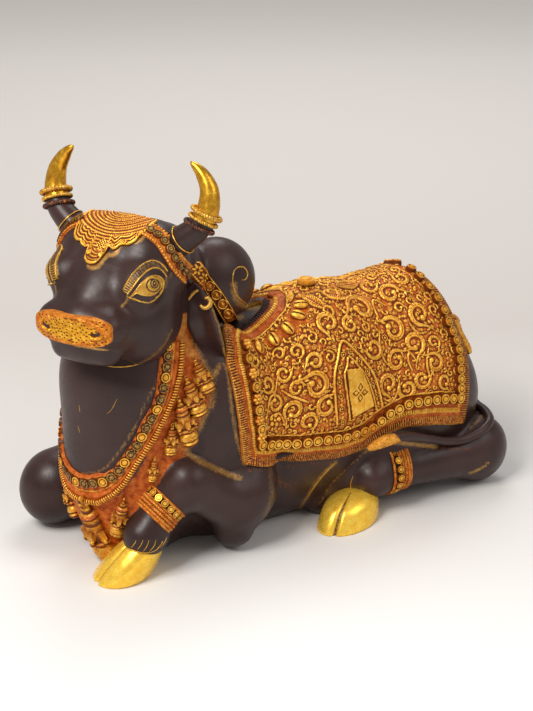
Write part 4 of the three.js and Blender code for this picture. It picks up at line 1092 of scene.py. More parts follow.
def run_edge(run):
    """The line of one edge of the cloth, in millimetres along and down, its way inwards and its length."""
    line = np.linspace(0, 1, EDGE_STEPS)
    if run == "hem":
        x, degrees = cloth_grid(line, np.ones(EDGE_STEPS))
    else:
        x, degrees = cloth_grid(np.full(EDGE_STEPS, 0.0 if run == "front" else 1.0), line)
    edge = np.stack([x, down(degrees)], -1)
    length = run_along(edge)
    even = np.linspace(0, length[-1], EDGE_STEPS)
    edge = np.stack([np.interp(even, length, edge[:, k]) for k in (0, 1)], -1)
    padded = np.pad(edge, [(EDGE_REACH, EDGE_REACH), (0, 0)], mode="reflect", reflect_type="odd")
    even_share = np.ones(2 * EDGE_REACH + 1) / (2 * EDGE_REACH + 1)
    smooth = np.stack([np.convolve(padded[:, k], even_share, "valid") for k in (0, 1)], -1)
    tangent = unit(np.gradient(smooth, axis=0))
    inward = np.stack([tangent[:, 1], -tangent[:, 0]], -1) * (1 if run != "rear" else -1)
    return smooth, inward, length[-1]


def mitres(run):
    """How far each end of an edge's strip draws back for each millimetre of its width."""
    front, hem, rear = (run_edge(name)[0] for name in ("front", "hem", "rear"))
    cuts = []
    for upright, level in ((front[-1] - front[-40], hem[40] - hem[0]),
                           (rear[-1] - rear[-40], hem[-40] - hem[-1])):
        angle = math.acos(float(-unit(upright) @ unit(level)))
        cuts.append(1 / math.tan(angle / 2))
    return {"front": (0, cuts[0]), "hem": tuple(cuts), "rear": (0, cuts[1])}[run]


def make_edge_strip(name, side, run, step, columns):
    """A strip along the cloth's front, hem or rear edge, with mitred ends at its corners."""
    edge, inward, length = run_edge(run)
    width = sum(STRIPS[run]) + 6
    share, w = np.meshgrid(np.linspace(0, 1, int(length / step)), np.linspace(0, width, columns),
                           indexing="ij")
    first, last = mitres(run)
    along = (first * w + share * (length - w * (first + last))).ravel()
    w = w.ravel()
    at_edge = lambda values: np.interp(along, np.linspace(0, length, EDGE_STEPS), values)
    x = at_edge(edge[:, 0]) + w * at_edge(inward[:, 0])
    y = np.maximum(at_edge(edge[:, 1]) + w * at_edge(inward[:, 1]), 0)
    degrees = np.interp(y, GIRTH, GIRTH_DEGREES)
    base = over_trunk(x, degrees, side)
    out = unit(slope(trunk, base))
    base = over_foreleg(base, out, degrees)
    height, gilt, rust, grime = comb(along, w, *STRIPS[run])
    if run == "front":
        dark = np.clip((62 - along) / 14, 0, 1) * (w > 0.8) * (w < STRIPS[run][0])
        gilt, rust = gilt * (1 - 0.75 * dark), rust * (1 - 0.7 * dark)
    top = base + out * (CLOTH_RISE - 2.2 + height)[:, None]
    slab_piece(name, top, base - out * 4, share.shape, carved, gilt=gilt, rust=rust, grime=grime)


def comb(along, inward, comb_width, plain_width):
    """A fringe of upright teeth, a plain fillet and a band of ticks: heights, gold, rust, and grime with
    painted shade between the teeth and ticks.
    """
    tooth = np.sin(np.pi * (along % TOOTH) / TOOTH)
    tick = np.sin(np.pi * (along % TICK) / TICK)
    fillet = inward - comb_width
    ticks = fillet - plain_width
    teeth = 0.6 + 2.0 * np.clip(2.2 * tooth - 0.7, 0, 1) ** 0.6 * np.clip(inward, 0.3, 1)
    band = 2.0 + (2.0 * np.clip(2.2 * tick - 0.6, 0, 1) ** 0.6
                  * np.clip(1 - (2 * ticks / TICK_BAND - 1) ** 4, 0, 1))
    smooth = 1.3 + np.sin(np.pi * np.clip(fillet / plain_width, 0, 1))
    zones = [fillet < 0, ticks < 0, ticks < TICK_BAND]
    height = np.select(zones, [teeth, smooth, band], 2.6)
    gilt = np.select(zones, [0.03 + 0.46 * tooth, 0.12, 0.22 + 0.66 * tick], 0.16)
    gilt = np.where(inward < 0.7, 0.9, gilt)
    rust = np.select(zones, [0.27 + 0.40 * tooth, 1.0, 0.9], 1.0)
    # Painted shade in the gaps between the teeth and between the ticks.
    grime = np.select(zones, [np.clip(1.25 - 1.9 * tooth, 0, 1), 0.0, np.clip(1.2 - 2.2 * tick, 0, 1)], 0.0)
    return height, gilt, rust, grime


def make_borders():
    """The fringe, fillet and ticks along the cloth's three edges on both sides."""
    steps = {"left": 0.57, "right": 1.05}
    for side, word in SIDE_WORDS:
        for run in STRIPS:
            make_edge_strip(f"fringe_{word}_{run}", side, run, steps[word], 23)


# Small ornaments: each is modelled once, lying on the ground with its face upwards, and copied

def modelled(name):
    """Leaves edit mode and hands over the piece in work, smoothed and under its name."""
    bpy.ops.object.mode_set(mode="OBJECT")
    thing = bpy.context.object
    thing.name = name
    bpy.ops.object.transform_apply(location=True, rotation=True, scale=True)
    bpy.ops.object.shade_smooth_by_angle(angle=math.radians(40))
    return thing


def marked(thing, gilt, rust=0.8, grime=None):
    """Marks an ornament's points: gold, and grime with painted shade, are functions of the place in
    millimetres.
    """
    mesh = thing.data
    places = np.empty(3 * len(mesh.vertices), np.float32)
    mesh.vertices.foreach_get("co", places)
    x, y, z = places.reshape(-1, 3).T / MM
    values = {"gilt": gilt(x, y, z), "rust": rust, "grime": grime(x, y, z) if grime else 0.0}
    for key, value in values.items():
        value = np.broadcast_to(np.asarray(value, np.float32), len(x)).copy()
        mesh.attributes.new(key, "FLOAT", "POINT").data.foreach_set("value", value)
    mesh.materials.append(carved)
    return thing


def pick(test):
    """Selects faces of the piece in work by their middle and normal."""
    bpy.ops.object.mode_set(mode="OBJECT")
    for face in bpy.context.object.data.polygons:
        face.select = bool(test(face.center / MM, face.normal))
    bpy.ops.object.mode_set(mode="EDIT")


def face_mode():
    """Edit mode on faces, with nothing selected."""
    bpy.ops.object.mode_set(mode="EDIT")
    bpy.context.tool_settings.mesh_select_mode = (False, False, True)
    bpy.ops.mesh.select_all(action="DESELECT")


def raised(height):
    """Extrudes the selected faces straight up or down."""
    bpy.ops.mesh.extrude_region_move(TRANSFORM_OT_translate={"value": (0, 0, height * MM)})


def inset(width):
    """Insets the selected faces."""
    bpy.ops.mesh.inset(thickness=width * MM, use_even_offset=True)


def model_ring_rosette(name, share, rust):
    """A round boss in a groove darkened with painted shade, with a rim, a sunk ring and a dot."""
    bpy.ops.mesh.primitive_cylinder_add(vertices=16, radius=5.3 * MM, depth=3 * MM)
    face_mode()
    pick(lambda c, n: n.z > 0.9)
    for width, height in ((0.55, 1.2), (1.1, -0.9), (1.0, 0.9), (0.8, 0.3)):
        inset(width)
        raised(height)
    inset(0.6)

    def gold(x, y, z):
        return np.where(z > 1.6, share * (0.45 + 0.2 * (z - 1.6)), 0.1)

    # Painted shade: all below the boss's top, and the sunk ring in it, are darkened.
    def groove_grime(x, y, z):
        return np.where((z < 1.6) | ((z < 1.9) & (np.hypot(x, y) < 4)), 0.85, 0)

    return marked(modelled(name), gold, rust, groove_grime)


def model_flower_rosette():
    """Six round petals about a dot, on a disc darkened with painted shade, as are the petals' lower parts."""
    first = (3.2 * MM, 0, 1.7 * MM)
    bpy.ops.mesh.primitive_uv_sphere_add(segments=12, ring_count=8, radius=1.9 * MM, location=first)
    bpy.ops.object.mode_set(mode="EDIT")
    bpy.ops.mesh.select_all(action="SELECT")
    bpy.ops.transform.resize(value=(1.1, 0.92, 0.75), center_override=first)
    bpy.ops.mesh.spin(steps=6, dupli=True, angle=2 * math.pi, center=(0, 0, 0), axis=(0, 0, 1))
    bpy.ops.mesh.select_all(action="SELECT")
    bpy.ops.mesh.remove_doubles(threshold=0.05 * MM)
    bpy.ops.mesh.primitive_uv_sphere_add(segments=12, ring_count=8, radius=1.7 * MM,
                                         location=(0, 0, 2.0 * MM))
    bpy.ops.mesh.primitive_cylinder_add(vertices=18, radius=5.4 * MM, depth=3.0 * MM)
    thing = modelled("flower_rosette")
    # Painted shade on the disc and the petals' lower parts.
    return marked(thing, lambda x, y, z: 0.22 + 0.26 * (z - 1.2),
                  grime=lambda x, y, z: np.where(z < 1.65, 0.85, 0))


def model_cowrie():
    """A cowrie: an oval shell with a slit along it and lips beside the slit."""
    bpy.ops.mesh.primitive_uv_sphere_add(segments=32, ring_count=20, radius=1 * MM)
    bpy.ops.object.mode_set(mode="EDIT")
    bpy.ops.mesh.select_all(action="SELECT")
    bpy.ops.transform.resize(value=(4.7, 6.6, 3.0))
    face_mode()
    pick(lambda c, n: n.z > 0.5 and abs(c.x) < 0.95 and abs(c.y) < 5.2)
    bpy.ops.mesh.inset(thickness=0.12 * MM)
    raised(-1.5)
    thing = modelled("cowrie")

    # Painted shade: the slit and the shell's lower part are darkened.
    def slit_grime(x, y, z):
        slit = (np.abs(x) < 1.1) & (z < 2.0) & (z > 0.0) & (np.abs(y) < 5.4)
        return np.where(slit, 1.0, np.where(z < 0.9, 0.6, 0))

    return marked(thing, lambda x, y, z: 0.30 + 0.22 * z, grime=slit_grime)


# The bell's outline from its ring down: how far each tier drops, and how much wider it gets
BELL_TIERS = [(1.4, 1.5), (0.6, 1.0), (1.0, 1.7), (0.8, 1.0), (0.7, 0.8), (0.7, 1.0), (0.7, 1.32), (0.8, 1.0),
              (0.7, 0.86), (6.2, 1.12), (0.7, 1.16), (0.9, 1.0), (0.7, 0.84), (0.7, 1.0), (0.8, 1.24),
              (1.8, 1.10), (0.8, 0.96), (0.6, 0.8), (0.7, 1.0), (0.7, 1.16), (1.1, 0.95), (0.9, 0.72),
              (0.2, 0.5)]


def model_bell():
    """A hanging bell down -Z: a ring, a neck, a square panel between tiers, and a wide beaded lip."""
    bpy.ops.mesh.primitive_circle_add(vertices=28, radius=2.0 * MM, fill_type="NGON")
    bpy.ops.object.mode_set(mode="EDIT")
    bpy.ops.mesh.select_all(action="SELECT")
    for drop, share in BELL_TIERS:
        raised(-drop)
        bpy.ops.transform.resize(value=(share, share, 1), center_override=(0, 0, 0))
    bpy.ops.mesh.select_all(action="SELECT")
    bpy.ops.mesh.normals_make_consistent(inside=False)
    bpy.ops.mesh.primitive_torus_add(major_segments=18, minor_segments=7, major_radius=2.5 * MM,
                                     minor_radius=0.9 * MM, location=(0, 0, 1.6 * MM),
                                     rotation=(math.pi / 2, 0, 0))
    for turn in range(0, 360, 60):
        a = math.radians(turn)
        where = Vector((5.6 * math.cos(a), 5.6 * math.sin(a), -10.6)) * MM
        bpy.ops.mesh.primitive_cube_add(size=3.4 * MM, location=where, rotation=(0, 0, a))
        bpy.ops.mesh.primitive_uv_sphere_add(segments=10, ring_count=6, radius=1.5 * MM,
                                             location=where * 1.28)

    def groove(x, y, z):
        return np.where(np.hypot(x, y) > 2.2, np.cos(z * 2.6), 0.3)

    def gold(x, y, z):
        return 0.12 + 0.50 * ((groove(x, y, z) > 0.1) | (np.hypot(x, y) > 6.6)) + 0.2 * (z > -0.5)

    # Painted shade: bands between the gold ones are darkened to stand for the bell's grooves.
    return marked(modelled("bell"), gold, 0.62, lambda x, y, z: np.clip(-0.1 - groove(x, y, z), 0, 1) * 1.5)


def model_bead():
    """A slightly flattened bead."""
    bpy.ops.mesh.primitive_uv_sphere_add(segments=10, ring_count=6, radius=1 * MM)
    bpy.ops.object.mode_set(mode="EDIT")
    bpy.ops.mesh.select_all(action="SELECT")
    bpy.ops.transform.resize(value=(1, 1, 0.8))
    return marked(modelled("bead"), lambda x, y, z: 0.35 + 0.35 * z)


def model_knob():
    """The knob of the lotus: a round boss with a flat, ringed top."""
    bpy.ops.mesh.primitive_cylinder_add(vertices=36, radius=11 * MM, depth=5 * MM)
    face_mode()
    pick(lambda c, n: n.z > 0.9)
    for width, height in ((0.7, 0.7), (2.2, 0.5), (1.0, -0.7), (1.6, 0.8), (2.0, 0.3)):
        inset(width)
        raised(height)
    thing = modelled("knob")
    # Painted shade darkens the lower half of the knob's side.
    return marked(thing, lambda x, y, z: 0.66 + 0.05 * z, grime=lambda x, y, z: np.where(z < 0, 0.7, 0))


def copied(template, name, places):
    """Copies of an ornament as one piece. A place has its point, its way out, its way along and its size."""
    made = []
    for point, out, along, size in places:
        out = unit(np.asarray(out, float))
        along = unit(along - out * (along @ out))
        across = np.cross(out, along)
        size = np.broadcast_to(size, 3)
        turn = np.stack([along * size[0], across * size[1], out * size[2], (point - ORIGIN) * MM], 1)
        twin = template.copy()
        twin.data = template.data.copy()
        twin.data.transform(Matrix([*turn.tolist(), [0, 0, 0, 1]]))
        bpy.context.scene.collection.objects.link(twin)
        made.append(twin)
    bpy.ops.object.select_all(action="DESELECT")
    for twin in made:
        twin.select_set(True)
    bpy.context.view_layer.objects.active = made[0]
    if len(made) > 1:
        bpy.ops.object.join()
    thing = bpy.context.object
    thing.name = name
    places = np.empty(3 * len(thing.data.vertices), np.float32)
    thing.data.vertices.foreach_get("co", places)
    thing.data.vertices.foreach_set("co", boxed(places.reshape(-1, 3)).astype(np.float32).ravel())
    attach(thing, "root")
    bpy.ops.object.select_all(action="DESELECT")
    return thing


def cloth_spot(x, degrees, side, lift):
    """A place on the cloth, its way out and its way back along the bull."""
    base = over_trunk(np.array([x], float), np.array([degrees], float), side)
    out = unit(slope(trunk, base))
    base = over_foreleg(base, out, np.array([degrees], float))
    return base[0] + out[0] * (CLOTH_RISE + lift), out[0], BODY_AXES[0]


# The rows of rosettes as shares of the cloth's length and drop, and how many lie along the hem and in front
HEM_ROW = 0.812
FRONT_COLUMN = 0.068
REAR_COLUMN = 0.925
HEM_COUNT = 23
FRONT_COUNT = 9
REAR_COUNT = 13


def rosette_places(side):
    """Places of the rosettes along the hem, then up the front and up the rear."""
    spots = [(a, HEM_ROW) for a in np.linspace(FRONT_COLUMN, REAR_COLUMN, HEM_COUNT)]
    spots += [(FRONT_COLUMN, b) for b in np.linspace(HEM_ROW, 0.29, FRONT_COUNT + 1)[1:]]
    spots += [(REAR_COLUMN, b) for b in np.linspace(HEM_ROW, 0.05, REAR_COUNT + 1)[1:]]
    places = []
    for a, b in spots:
        x, degrees = cloth_grid(np.array([a]), np.array([b]))
        places.append((*cloth_spot(x[0], degrees[0], side, 1.0), (1.06, 1.06, 1.9)))
    return places


def make_cloth_ornaments(templates):
    """Rosettes, cowries with their beads and the lotus's knob on the saddle cloth."""
    for side, word in SIDE_WORDS:
        places = rosette_places(side)
        front_end = HEM_COUNT + FRONT_COUNT
        flowers = places[HEM_COUNT:front_end:2]
        rings = places[:HEM_COUNT] + places[HEM_COUNT + 1:front_end:2] + places[front_end:]
        copied(templates["ring"], f"cloth_ring_rosettes_{word}", rings)
        copied(templates["flower"], f"cloth_flower_rosettes_{word}", flowers)
        shells, beads = [], []
        for x, degrees, turn in COWRIES:
            point, out, along = cloth_spot(x, degrees, side, 1.6)
            a = math.radians(turn)
            way = along * math.cos(a) + np.cross(out, along) * math.sin(a) * side
            shells.append((point, out, way, 1.2))
            above = cloth_spot(x + 3, degrees - 4.2, side, 1.2)
            beads.append((*above, (2.3, 2.3, 2.6)))
        copied(templates["cowrie"], f"cowries_{word}", shells)
        copied(templates["bead"], f"cowrie_beads_{word}", beads)
    point, out, along = cloth_spot(64, 0, 1, 1.0)
    copied(templates["knob"], "lotus_knob", [(point + out * 2.6, out, along, (0.84, 0.84, 0.85))])


# Necklace and bells on the chest

# Angle and height of the rosette row, and of the cord below it, from the middle round to the neck's side
NECKLACE = [(0, 92, 0, 73), (10.3, 93.5, 8.2, 74.2), (19.2, 96.8, 18.5, 75.3), (27.1, 100.2, 32.2, 86),
            (35.7, 108.2, 41.8, 98), (44.3, 122.7, 53, 118.5), (52.8, 135.4, 61.6, 131.8),
            (58.5, 147.3, 67.6, 141.2), (62.7, 157.2, 72.2, 150), (67.9, 166.6, 77.8, 162),
            (72.2, 175.5, 82.2, 173.3), (75.8, 186.1, 86.6, 182.8), (81, 202.6, 94.5, 199),
            (84.1, 213.6, 98.3, 210.5), (86.9, 224.7, 100.9, 221), (88.5, 232, 102.2, 228)]
# Where the row and the cord lie across the necklace, and how far apart the rosettes stand
ROW_SHARE = 0.27
CORD_SHARE = 0.92
ROSETTE_STEP = 9.6
CORD_THICK = 3.0
CORD_SIDES = 9


def on_chest(degrees, z):
    """Places on the chest at an angle from the necklace's middle and a height."""
    a = np.radians(NECKLACE_TURN + np.asarray(degrees, float))
    level = np.zeros(a.shape)
    way = np.stack([-np.cos(a), -np.sin(a), level], -1)
    start = np.stack([CHEST[0] + level, level, np.broadcast_to(z, a.shape)], -1)
    return draped(body, start, way)


def necklace_place(a, b):
    """Places on the necklace by their share of the way round one side and down from its upper edge."""
    stations = np.array(NECKLACE, float)
    step = np.hypot(np.diff(stations[:, 0]) * 1.15, np.diff(stations[:, 1]))
    run = np.insert(np.cumsum(step), 0, 0) / step.sum()
    row_angle, row_z, cord_angle, cord_z = (np.interp(np.abs(a), run, column) for column in stations.T)
    spread = -0.45 + 1.55 * b
    return on_chest(np.sign(a) * (row_angle + (cord_angle - row_angle) * spread),
                    row_z + (cord_z - row_z) * spread)


def make_necklace_band():
    """The necklace's ground: a scalloped upper edge, a line of beads and a ridge above the cord."""
    columns, rows = ((430, 42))
    a, b = np.meshgrid(np.linspace(-1, 1, columns), np.linspace(0, 1, rows), indexing="ij")
    base = necklace_place(a.ravel(), b.ravel())
    out = unit(slope(body, base))
    along = np.repeat(run_along(base.reshape(columns, rows, 3)[:, rows * 2 // 5]), rows)
    share = b.ravel()
    floor = 2.0 + 0.8 * np.clip((share - 0.5) / 0.3, 0, 1)
    bead = np.sqrt(np.clip(1 - ((along % 2.0) - 1.0) ** 2, 0, 1)
                   * np.clip(1 - ((share - 0.56) / 0.04) ** 2, 0, 1))
    ridge = np.sqrt(np.clip(1 - ((share - 0.72) / 0.075) ** 2, 0, 1))
    wave = 0.07 + 0.03 * np.abs(np.sin(np.pi * along / 10.2))
    scallop = 1.2 * np.clip(1 - np.abs(share - wave) / 0.05, 0, 1)
    height = floor + 1.1 * bead + 1.5 * ridge + scallop
    slab_piece("necklace_band", base + out * height[:, None], base - out * SINK, (columns, rows), carved,
               gilt=0.12 + 0.5 * bead + 0.10 * ridge + 0.3 * scallop, rust=1.0)


def make_necklace_cord():
    """The twisted cord along the necklace's lower edge, gilt on its strands, with painted shade between them.
    """
    share = np.linspace(-1, 1, 1300)
    rim = necklace_place(share, np.full(len(share), CORD_SHARE))
    core = rim + unit(slope(body, rim)) * 4.0
    points, faces = corded(core, CORD_THICK, 2.6, CORD_SIDES, 0.34)
    middle = np.append(np.repeat(core, CORD_SIDES, 0), [rim[0], rim[-1]], 0)
    ridge = np.linalg.norm(points - middle, axis=1) / CORD_THICK
    form_piece("necklace_cord", [(points, faces)], carved, gilt=0.1 + 0.6 * (ridge > 0.85), rust=0.7,
               grime=np.clip((0.86 - ridge) * 5, 0, 1))


def make_necklace(templates):
    """The band and cord, and a row of rosettes of which each third is gilt."""
    make_necklace_band()
    make_necklace_cord()
    fine = np.linspace(-0.98, 0.98, 400)
    length = run_along(necklace_place(fine, np.full(len(fine), ROW_SHARE)))
    count = int(length[-1] / ROSETTE_STEP)
    middle = np.interp(np.linspace(0, length[-1], count), length, fine)
    place = necklace_place(middle, np.full(count, ROW_SHARE))
    way = unit(slope(body, place))
    along = unit(np.gradient(place, axis=0))
    spots = [(p + o * 1.6, o, t, (0.98, 0.98, 1.25)) for p, o, t in zip(place, way, along)]
    copied(templates["ring"], "necklace_gold_rosettes", spots[0::3])
    copied(templates["dark_ring"], "necklace_dark_rosettes", spots[1::3] + spots[2::3])


def corded(path, radius, pitch, sides, depth=0.22, closed=False):
    """A twisted cord: a tube whose section carries ridges that wind along it."""
    n = len(path)
    tangent = unit(np.gradient(path, axis=0))
    lean = np.cross(tangent, np.roll(tangent, max(n // 7, 1), axis=0)).mean(0)
    lean = UP if np.linalg.norm(lean) < 1e-3 else unit(lean)
    side, thick = square_to(path, lean)
    turn = turns(sides)[None]
    wave = 1 - depth * (0.5 + 0.5 * np.cos(2 * math.pi * run_along(path)[:, None] / pitch + turn))
    ring = np.cos(turn)[..., None] * side[:, None] + np.sin(turn)[..., None] * thick[:, None]
    points = (path[:, None] + ring * (np.broadcast_to(radius, n)[:, None] * wave)[..., None]).reshape(-1, 3)
    if not closed:
        points = np.vstack([points, path[0], path[-1]])
    return points, ring_faces(n, sides, closed)


# The bells of one side: angle and height of the ring and of the lip, and the bell's size
BELLS = [(112, 204, 112, 176, 1.0), (101, 190, 106, 156, 1.1), (92, 172, 100, 128, 1.15),
         (86, 148, 84, 120, 0.8), (69, 118, 66, 96, 0.6), (40, 76, 30, 38, 1.0)]
BELL_LENGTH = 24.0


def make_bells(templates):
    """The bells that hang from the necklace: a large one in front and a row up each side."""
    spots = []
    hung = [(6, 70, 8, 3, 1.75)]
    hung += [(s * a, z0, s * b, z1, size) for s in SIDES for a, z0, b, z1, size in BELLS]
    for a0, z0, a1, z1, size in hung:
        top, bottom = on_chest([a0, a1], np.array([z0, z1], float))
        out = unit(slope(body, np.array([top, bottom])).mean(0))
        way = unit(top - bottom)
        face = unit(np.cross(np.cross(way, out), way))
        long = np.linalg.norm(top - bottom) / BELL_LENGTH
        spots.append((top + face * 3.2 * size, way, face, (0.95 * size, 1.15 * size, long)))
    copied(templates["bell"], "bells", spots)


# Horns, ears, tail and hooves

# The horn's line as places on the head, and its radii
HORN = [(26, 44, 318), (25, 61, 331), (22, 73, 341), (18, 79, 352), (15, 81.5, 362), (12, 80, 376),
        (11, 72, 389.5), (12.5, 62, 399)]
HORN_RADII = [14, 13.5, 12.2, 11.2, 10.2, 8.6, 6.2, 2.2]
HORN_ROWS = 64
HORN_SIDES = 36
# Rings on the horn: which row, radius, thickness, pitch of the twist, and gold
HORN_RINGS = {"lower": (24, 13.3, 2.3, 2.2, 0.20), "middle": (28, 13.0, 1.9, 1.9, 0.62),
              "upper": (32, 13.4, 2.5, 2.4, 0.60), "seam": (12, 13.9, 0.7, 30.0, 0.75)}


def ring_path(centre, axis, radius, count):
    """Points of a circle about an axis."""
    side = unit(np.cross(axis, AHEAD + 0.01))
    thick = np.cross(unit(axis), side)
    t = turns(count)[:, None]
    return centre + radius * (np.cos(t) * side + np.sin(t) * thick)


def make_horns():
    """Horns gilt above their rings, with three twisted rings and a gold seam at the root."""
    for s, word in SIDE_WORDS:
        path = smooth_path([on_head(t, w * s, z) for t, w, z in HORN], HORN_ROWS)
        radii = spread_values(HORN_RADII, HORN_ROWS)
        radii[-4:] *= [0.98, 0.92, 0.75, 0.35]
        run = np.append(np.repeat(np.linspace(0, 1, HORN_ROWS), HORN_SIDES), [0, 1])
        form_piece(f"horn_{word}", [tube(path, radii, HORN_SIDES, lean=AHEAD)], worn,
                   gilt=np.where(run > 0.46, 0.86, 0.06), rust=0, grime=0)
        rise = unit(path[34] - path[26])
        for ring_name, (k, radius, thick, pitch, gold) in HORN_RINGS.items():
            way = unit(path[k + 1] - path[k]) if ring_name == "seam" else rise
            cord = corded(ring_path(path[k], way, radius, 250), thick, pitch, 8, 0.32, closed=True)
            form_piece(f"horn_{ring_name}_ring_{word}", [cord], carved, gilt=gold, rust=0.35, grime=0.12)


EAR = [(2, 50, 276), (3, 60, 264), (5, 68, 242), (-4, 71, 219), (-28, 71, 193)]
EAR_RADII = [9, 14.5, 17.5, 15.5, 10, 1.5]
EAR_FLAT = 0.34
EAR_ROWS = 48
EAR_SIDES = 40
FOLD_POINTS = 30
# Gold folds at the ear's root, drawn in the view
EAR_FOLDS = [[(188.5, 300), (190.5, 296.5), (194, 292.5), (198.5, 290)],
             [(200, 305), (204, 308), (208.5, 306.5), (210.5, 302.5), (208.5, 298.5), (204.5, 298)]]


def make_ears():
    """Leaf-shaped ears that hang down, hollow on the side that looks ahead, with a rolled rim."""
    rows, sides = EAR_ROWS, EAR_SIDES
    for s, word in SIDE_WORDS:
        path = smooth_path([on_head(t, w * s, z) for t, w, z in EAR], rows)
        radii = spread_values(EAR_RADII, rows)
        side, thick = square_to(path, AHEAD)
        thick = thick * np.sign(thick @ AHEAD)[:, None]
        turn = turns(sides)
        across = np.cos(turn)
        front = np.sin(turn) > 0
        share = np.linspace(0, 1, rows)
        open_part = np.clip(share / 0.25, 0, 1)[:, None] * np.clip((1 - share) / 0.15, 0, 1)[:, None]
        hollow = np.where(front, 0.42 * (1 - across ** 2) ** 2, 0.0)
        depth = EAR_FLAT * np.sin(turn)[None] - hollow[None] * open_part
        ring = across[None, :, None] * side[:, None] + depth[..., None] * thick[:, None]
        points = (path[:, None] + radii[:, None, None] * ring).reshape(-1, 3)
        points = np.vstack([points, path[0], path[-1]])
        rim = (np.abs(across) > 0.93)[None] * open_part
        gilt = np.append((0.42 * rim + 0.22 * (share[:, None] > 0.62) * front[None]).ravel(), [0, 0])
        form_piece(f"ear_{word}", [(points, ring_faces(rows, sides))], lacquered, gilt=gilt, rust=0, grime=0)
        folds = []
        for fold, width in zip(EAR_FOLDS, (1.5, 2.2)):
            x, y = smooth_path(fold, FOLD_POINTS).T
            line = before(on_head(12, 62, 270), x, y)
            swell = np.sin(np.pi * np.linspace(0.08, 0.92, FOLD_POINTS)) ** 0.5
            folds.append(tube(line if s > 0 else over_muzzle(line), width * swell, 12))
        form_piece(f"ear_folds_{word}", folds, lacquered, gilt=0.75, rust=0, grime=0)


# The tail's line from its root round the haunch; its tuft starts at the tenth place
TAIL = [(236, 0, 120), (250, -31, 84), (250.5, -53, 74), (247.5, -73, 73.5), (238, -91.5, 72),
        (221, -98.5, 67), (200, -97, 62.5), (176, -96, 66), (151, -98, 76), (115, -101, 89), (91, -101, 90),
        (67, -103, 88)]
TAIL_RADII = [8, 8, 7, 6, 5.2, 5, 4.6, 4.4, 4.2, 5.0, 4, 1.5]
TAIL_ROWS = 150
TUFT_FROM = 9
TUFT_ROWS = 60
TUFT_RADIUS = 4.2
STRANDS = 14
STRAND_RADIUS = 1.9


def make_tail():
    """The tail, and its tuft of twisted strands."""
    path = smooth_path(TAIL, TAIL_ROWS)
    form_piece("tail", [tube(path, spread_values(TAIL_RADII, TAIL_ROWS), 20)], lacquered,
               gilt=0.1, rust=0, grime=0)
    tuft = smooth_path(TAIL[TUFT_FROM:], TUFT_ROWS)
    side, thick = square_to(tuft)
    swell = TUFT_RADIUS * np.sin(np.pi * np.linspace(0.08, 0.97, TUFT_ROWS)) ** 0.7
    strand = STRAND_RADIUS * np.sin(np.pi * np.linspace(0.06, 0.99, TUFT_ROWS)) ** 0.4
    strands = []
    for turn in turns(STRANDS):
        spin = (turn + 0.9 * np.linspace(0, 1, TUFT_ROWS))[:, None]
        way = tuft + swell[:, None] * (np.cos(spin) * side + np.sin(spin) * thick)
        strands.append(tube(way, strand, 7))
    form_piece("tail_tuft", strands, carved, gilt=0.58, rust=0.8, grime=0)


HOOF_ROWS = 24
HOOF_SIDES = 80
# Each hoof: middle of the sole and of the top, turn, half widths below and above, where it is cloven, and
# how much its top is rounded in
HOOVES = {"fore_left": ((-180.5, -44.5, 0), (-163, -57, 36), 30, (35, 27), (21, 18.5), 152, 0.0),
          "fore_right": ((-66, 98, 0), (-72, 98, 28), 0, (23, 16.5), (15, 13), 180, 0.86),
          "hind_left": ((60, -82, 0), (71, -77, 32), 15, (39, 25), (27, 20), 205, 0.86),
          "hind_right": ((60, 82, 0), (71, 77, 32), -15, (39, 25), (27, 20), 155, 0.86)}


def make_hooves():
    """Gilt cloven hooves that stand on the ground."""
    rows, sides = HOOF_ROWS, HOOF_SIDES
    t = np.linspace(0, 1, rows)[:, None]
    spin = turns(sides)
    for word, (base, top, turn, low, high, split, rounding) in HOOVES.items():
        base, top, a = at(*base), at(*top), math.radians(turn)
        side, thick = at(math.cos(a), math.sin(a), 0), at(-math.sin(a), math.cos(a), 0)
        crown = np.sqrt(1 - rounding * np.clip((t - 0.55) / 0.45, 0, 1) ** 2.4)
        wide, deep = ((near + (far - near) * t ** 2) * crown for near, far in zip(low, high))
        gap = np.abs((spin - math.radians(split) + math.pi) % (2 * math.pi) - math.pi)
        shrink = (1 - 0.13 * np.exp(-(gap / 0.08) ** 2)) * (0.96 + 0.04 * np.clip(t / 0.06, 0, 1) ** 0.5)
        points = (base + (top - base) * t[..., None] + (np.cos(spin) * wide * shrink)[..., None] * side
                  + (np.sin(spin) * deep * shrink)[..., None] * thick)
        points = np.vstack([points.reshape(-1, 3), base, top])
        points[:, 2] = np.maximum(points[:, 2], 0)
        # Painted shade darkens the cleft.
        cleft = np.append(np.tile(gap < 0.05, rows), [0, 0])
        form_piece(f"hoof_{word}", [(points, ring_faces(rows, sides))], polished, gilt=1.2, rust=0.2,
                   grime=0.7 * cleft)


# Anklets: bands and cords that hug the leg

# Middle of the band, the way along the leg, and the leg's radius there
ANKLETS = {"fore_left": (at(-147, -60, 67.5), at(-32, 3, -26), 18),
           "hind_left": (at(119, -77, 43), at(111, -2, -4), 20.5),
           "hind_right": (at(119, 77, 43), at(111, 2, -4), 20.5)}
ANKLET_STEPS = 220
ANKLET_ROSETTES = 17
# Cords and fillets of an anklet: place along the leg, thickness, pitch of the twist and its depth
ANKLET_CORDS = [(9.5, 1.5, 40, 0.0), (-1.0, 1.9, 2.3, 0.3), (-4.6, 1.9, 2.3, 0.3), (-8.2, 1.9, 2.3, 0.3),
                (1.8, 1.2, 40, 0.0), (-11, 1.4, 40, 0.0)]


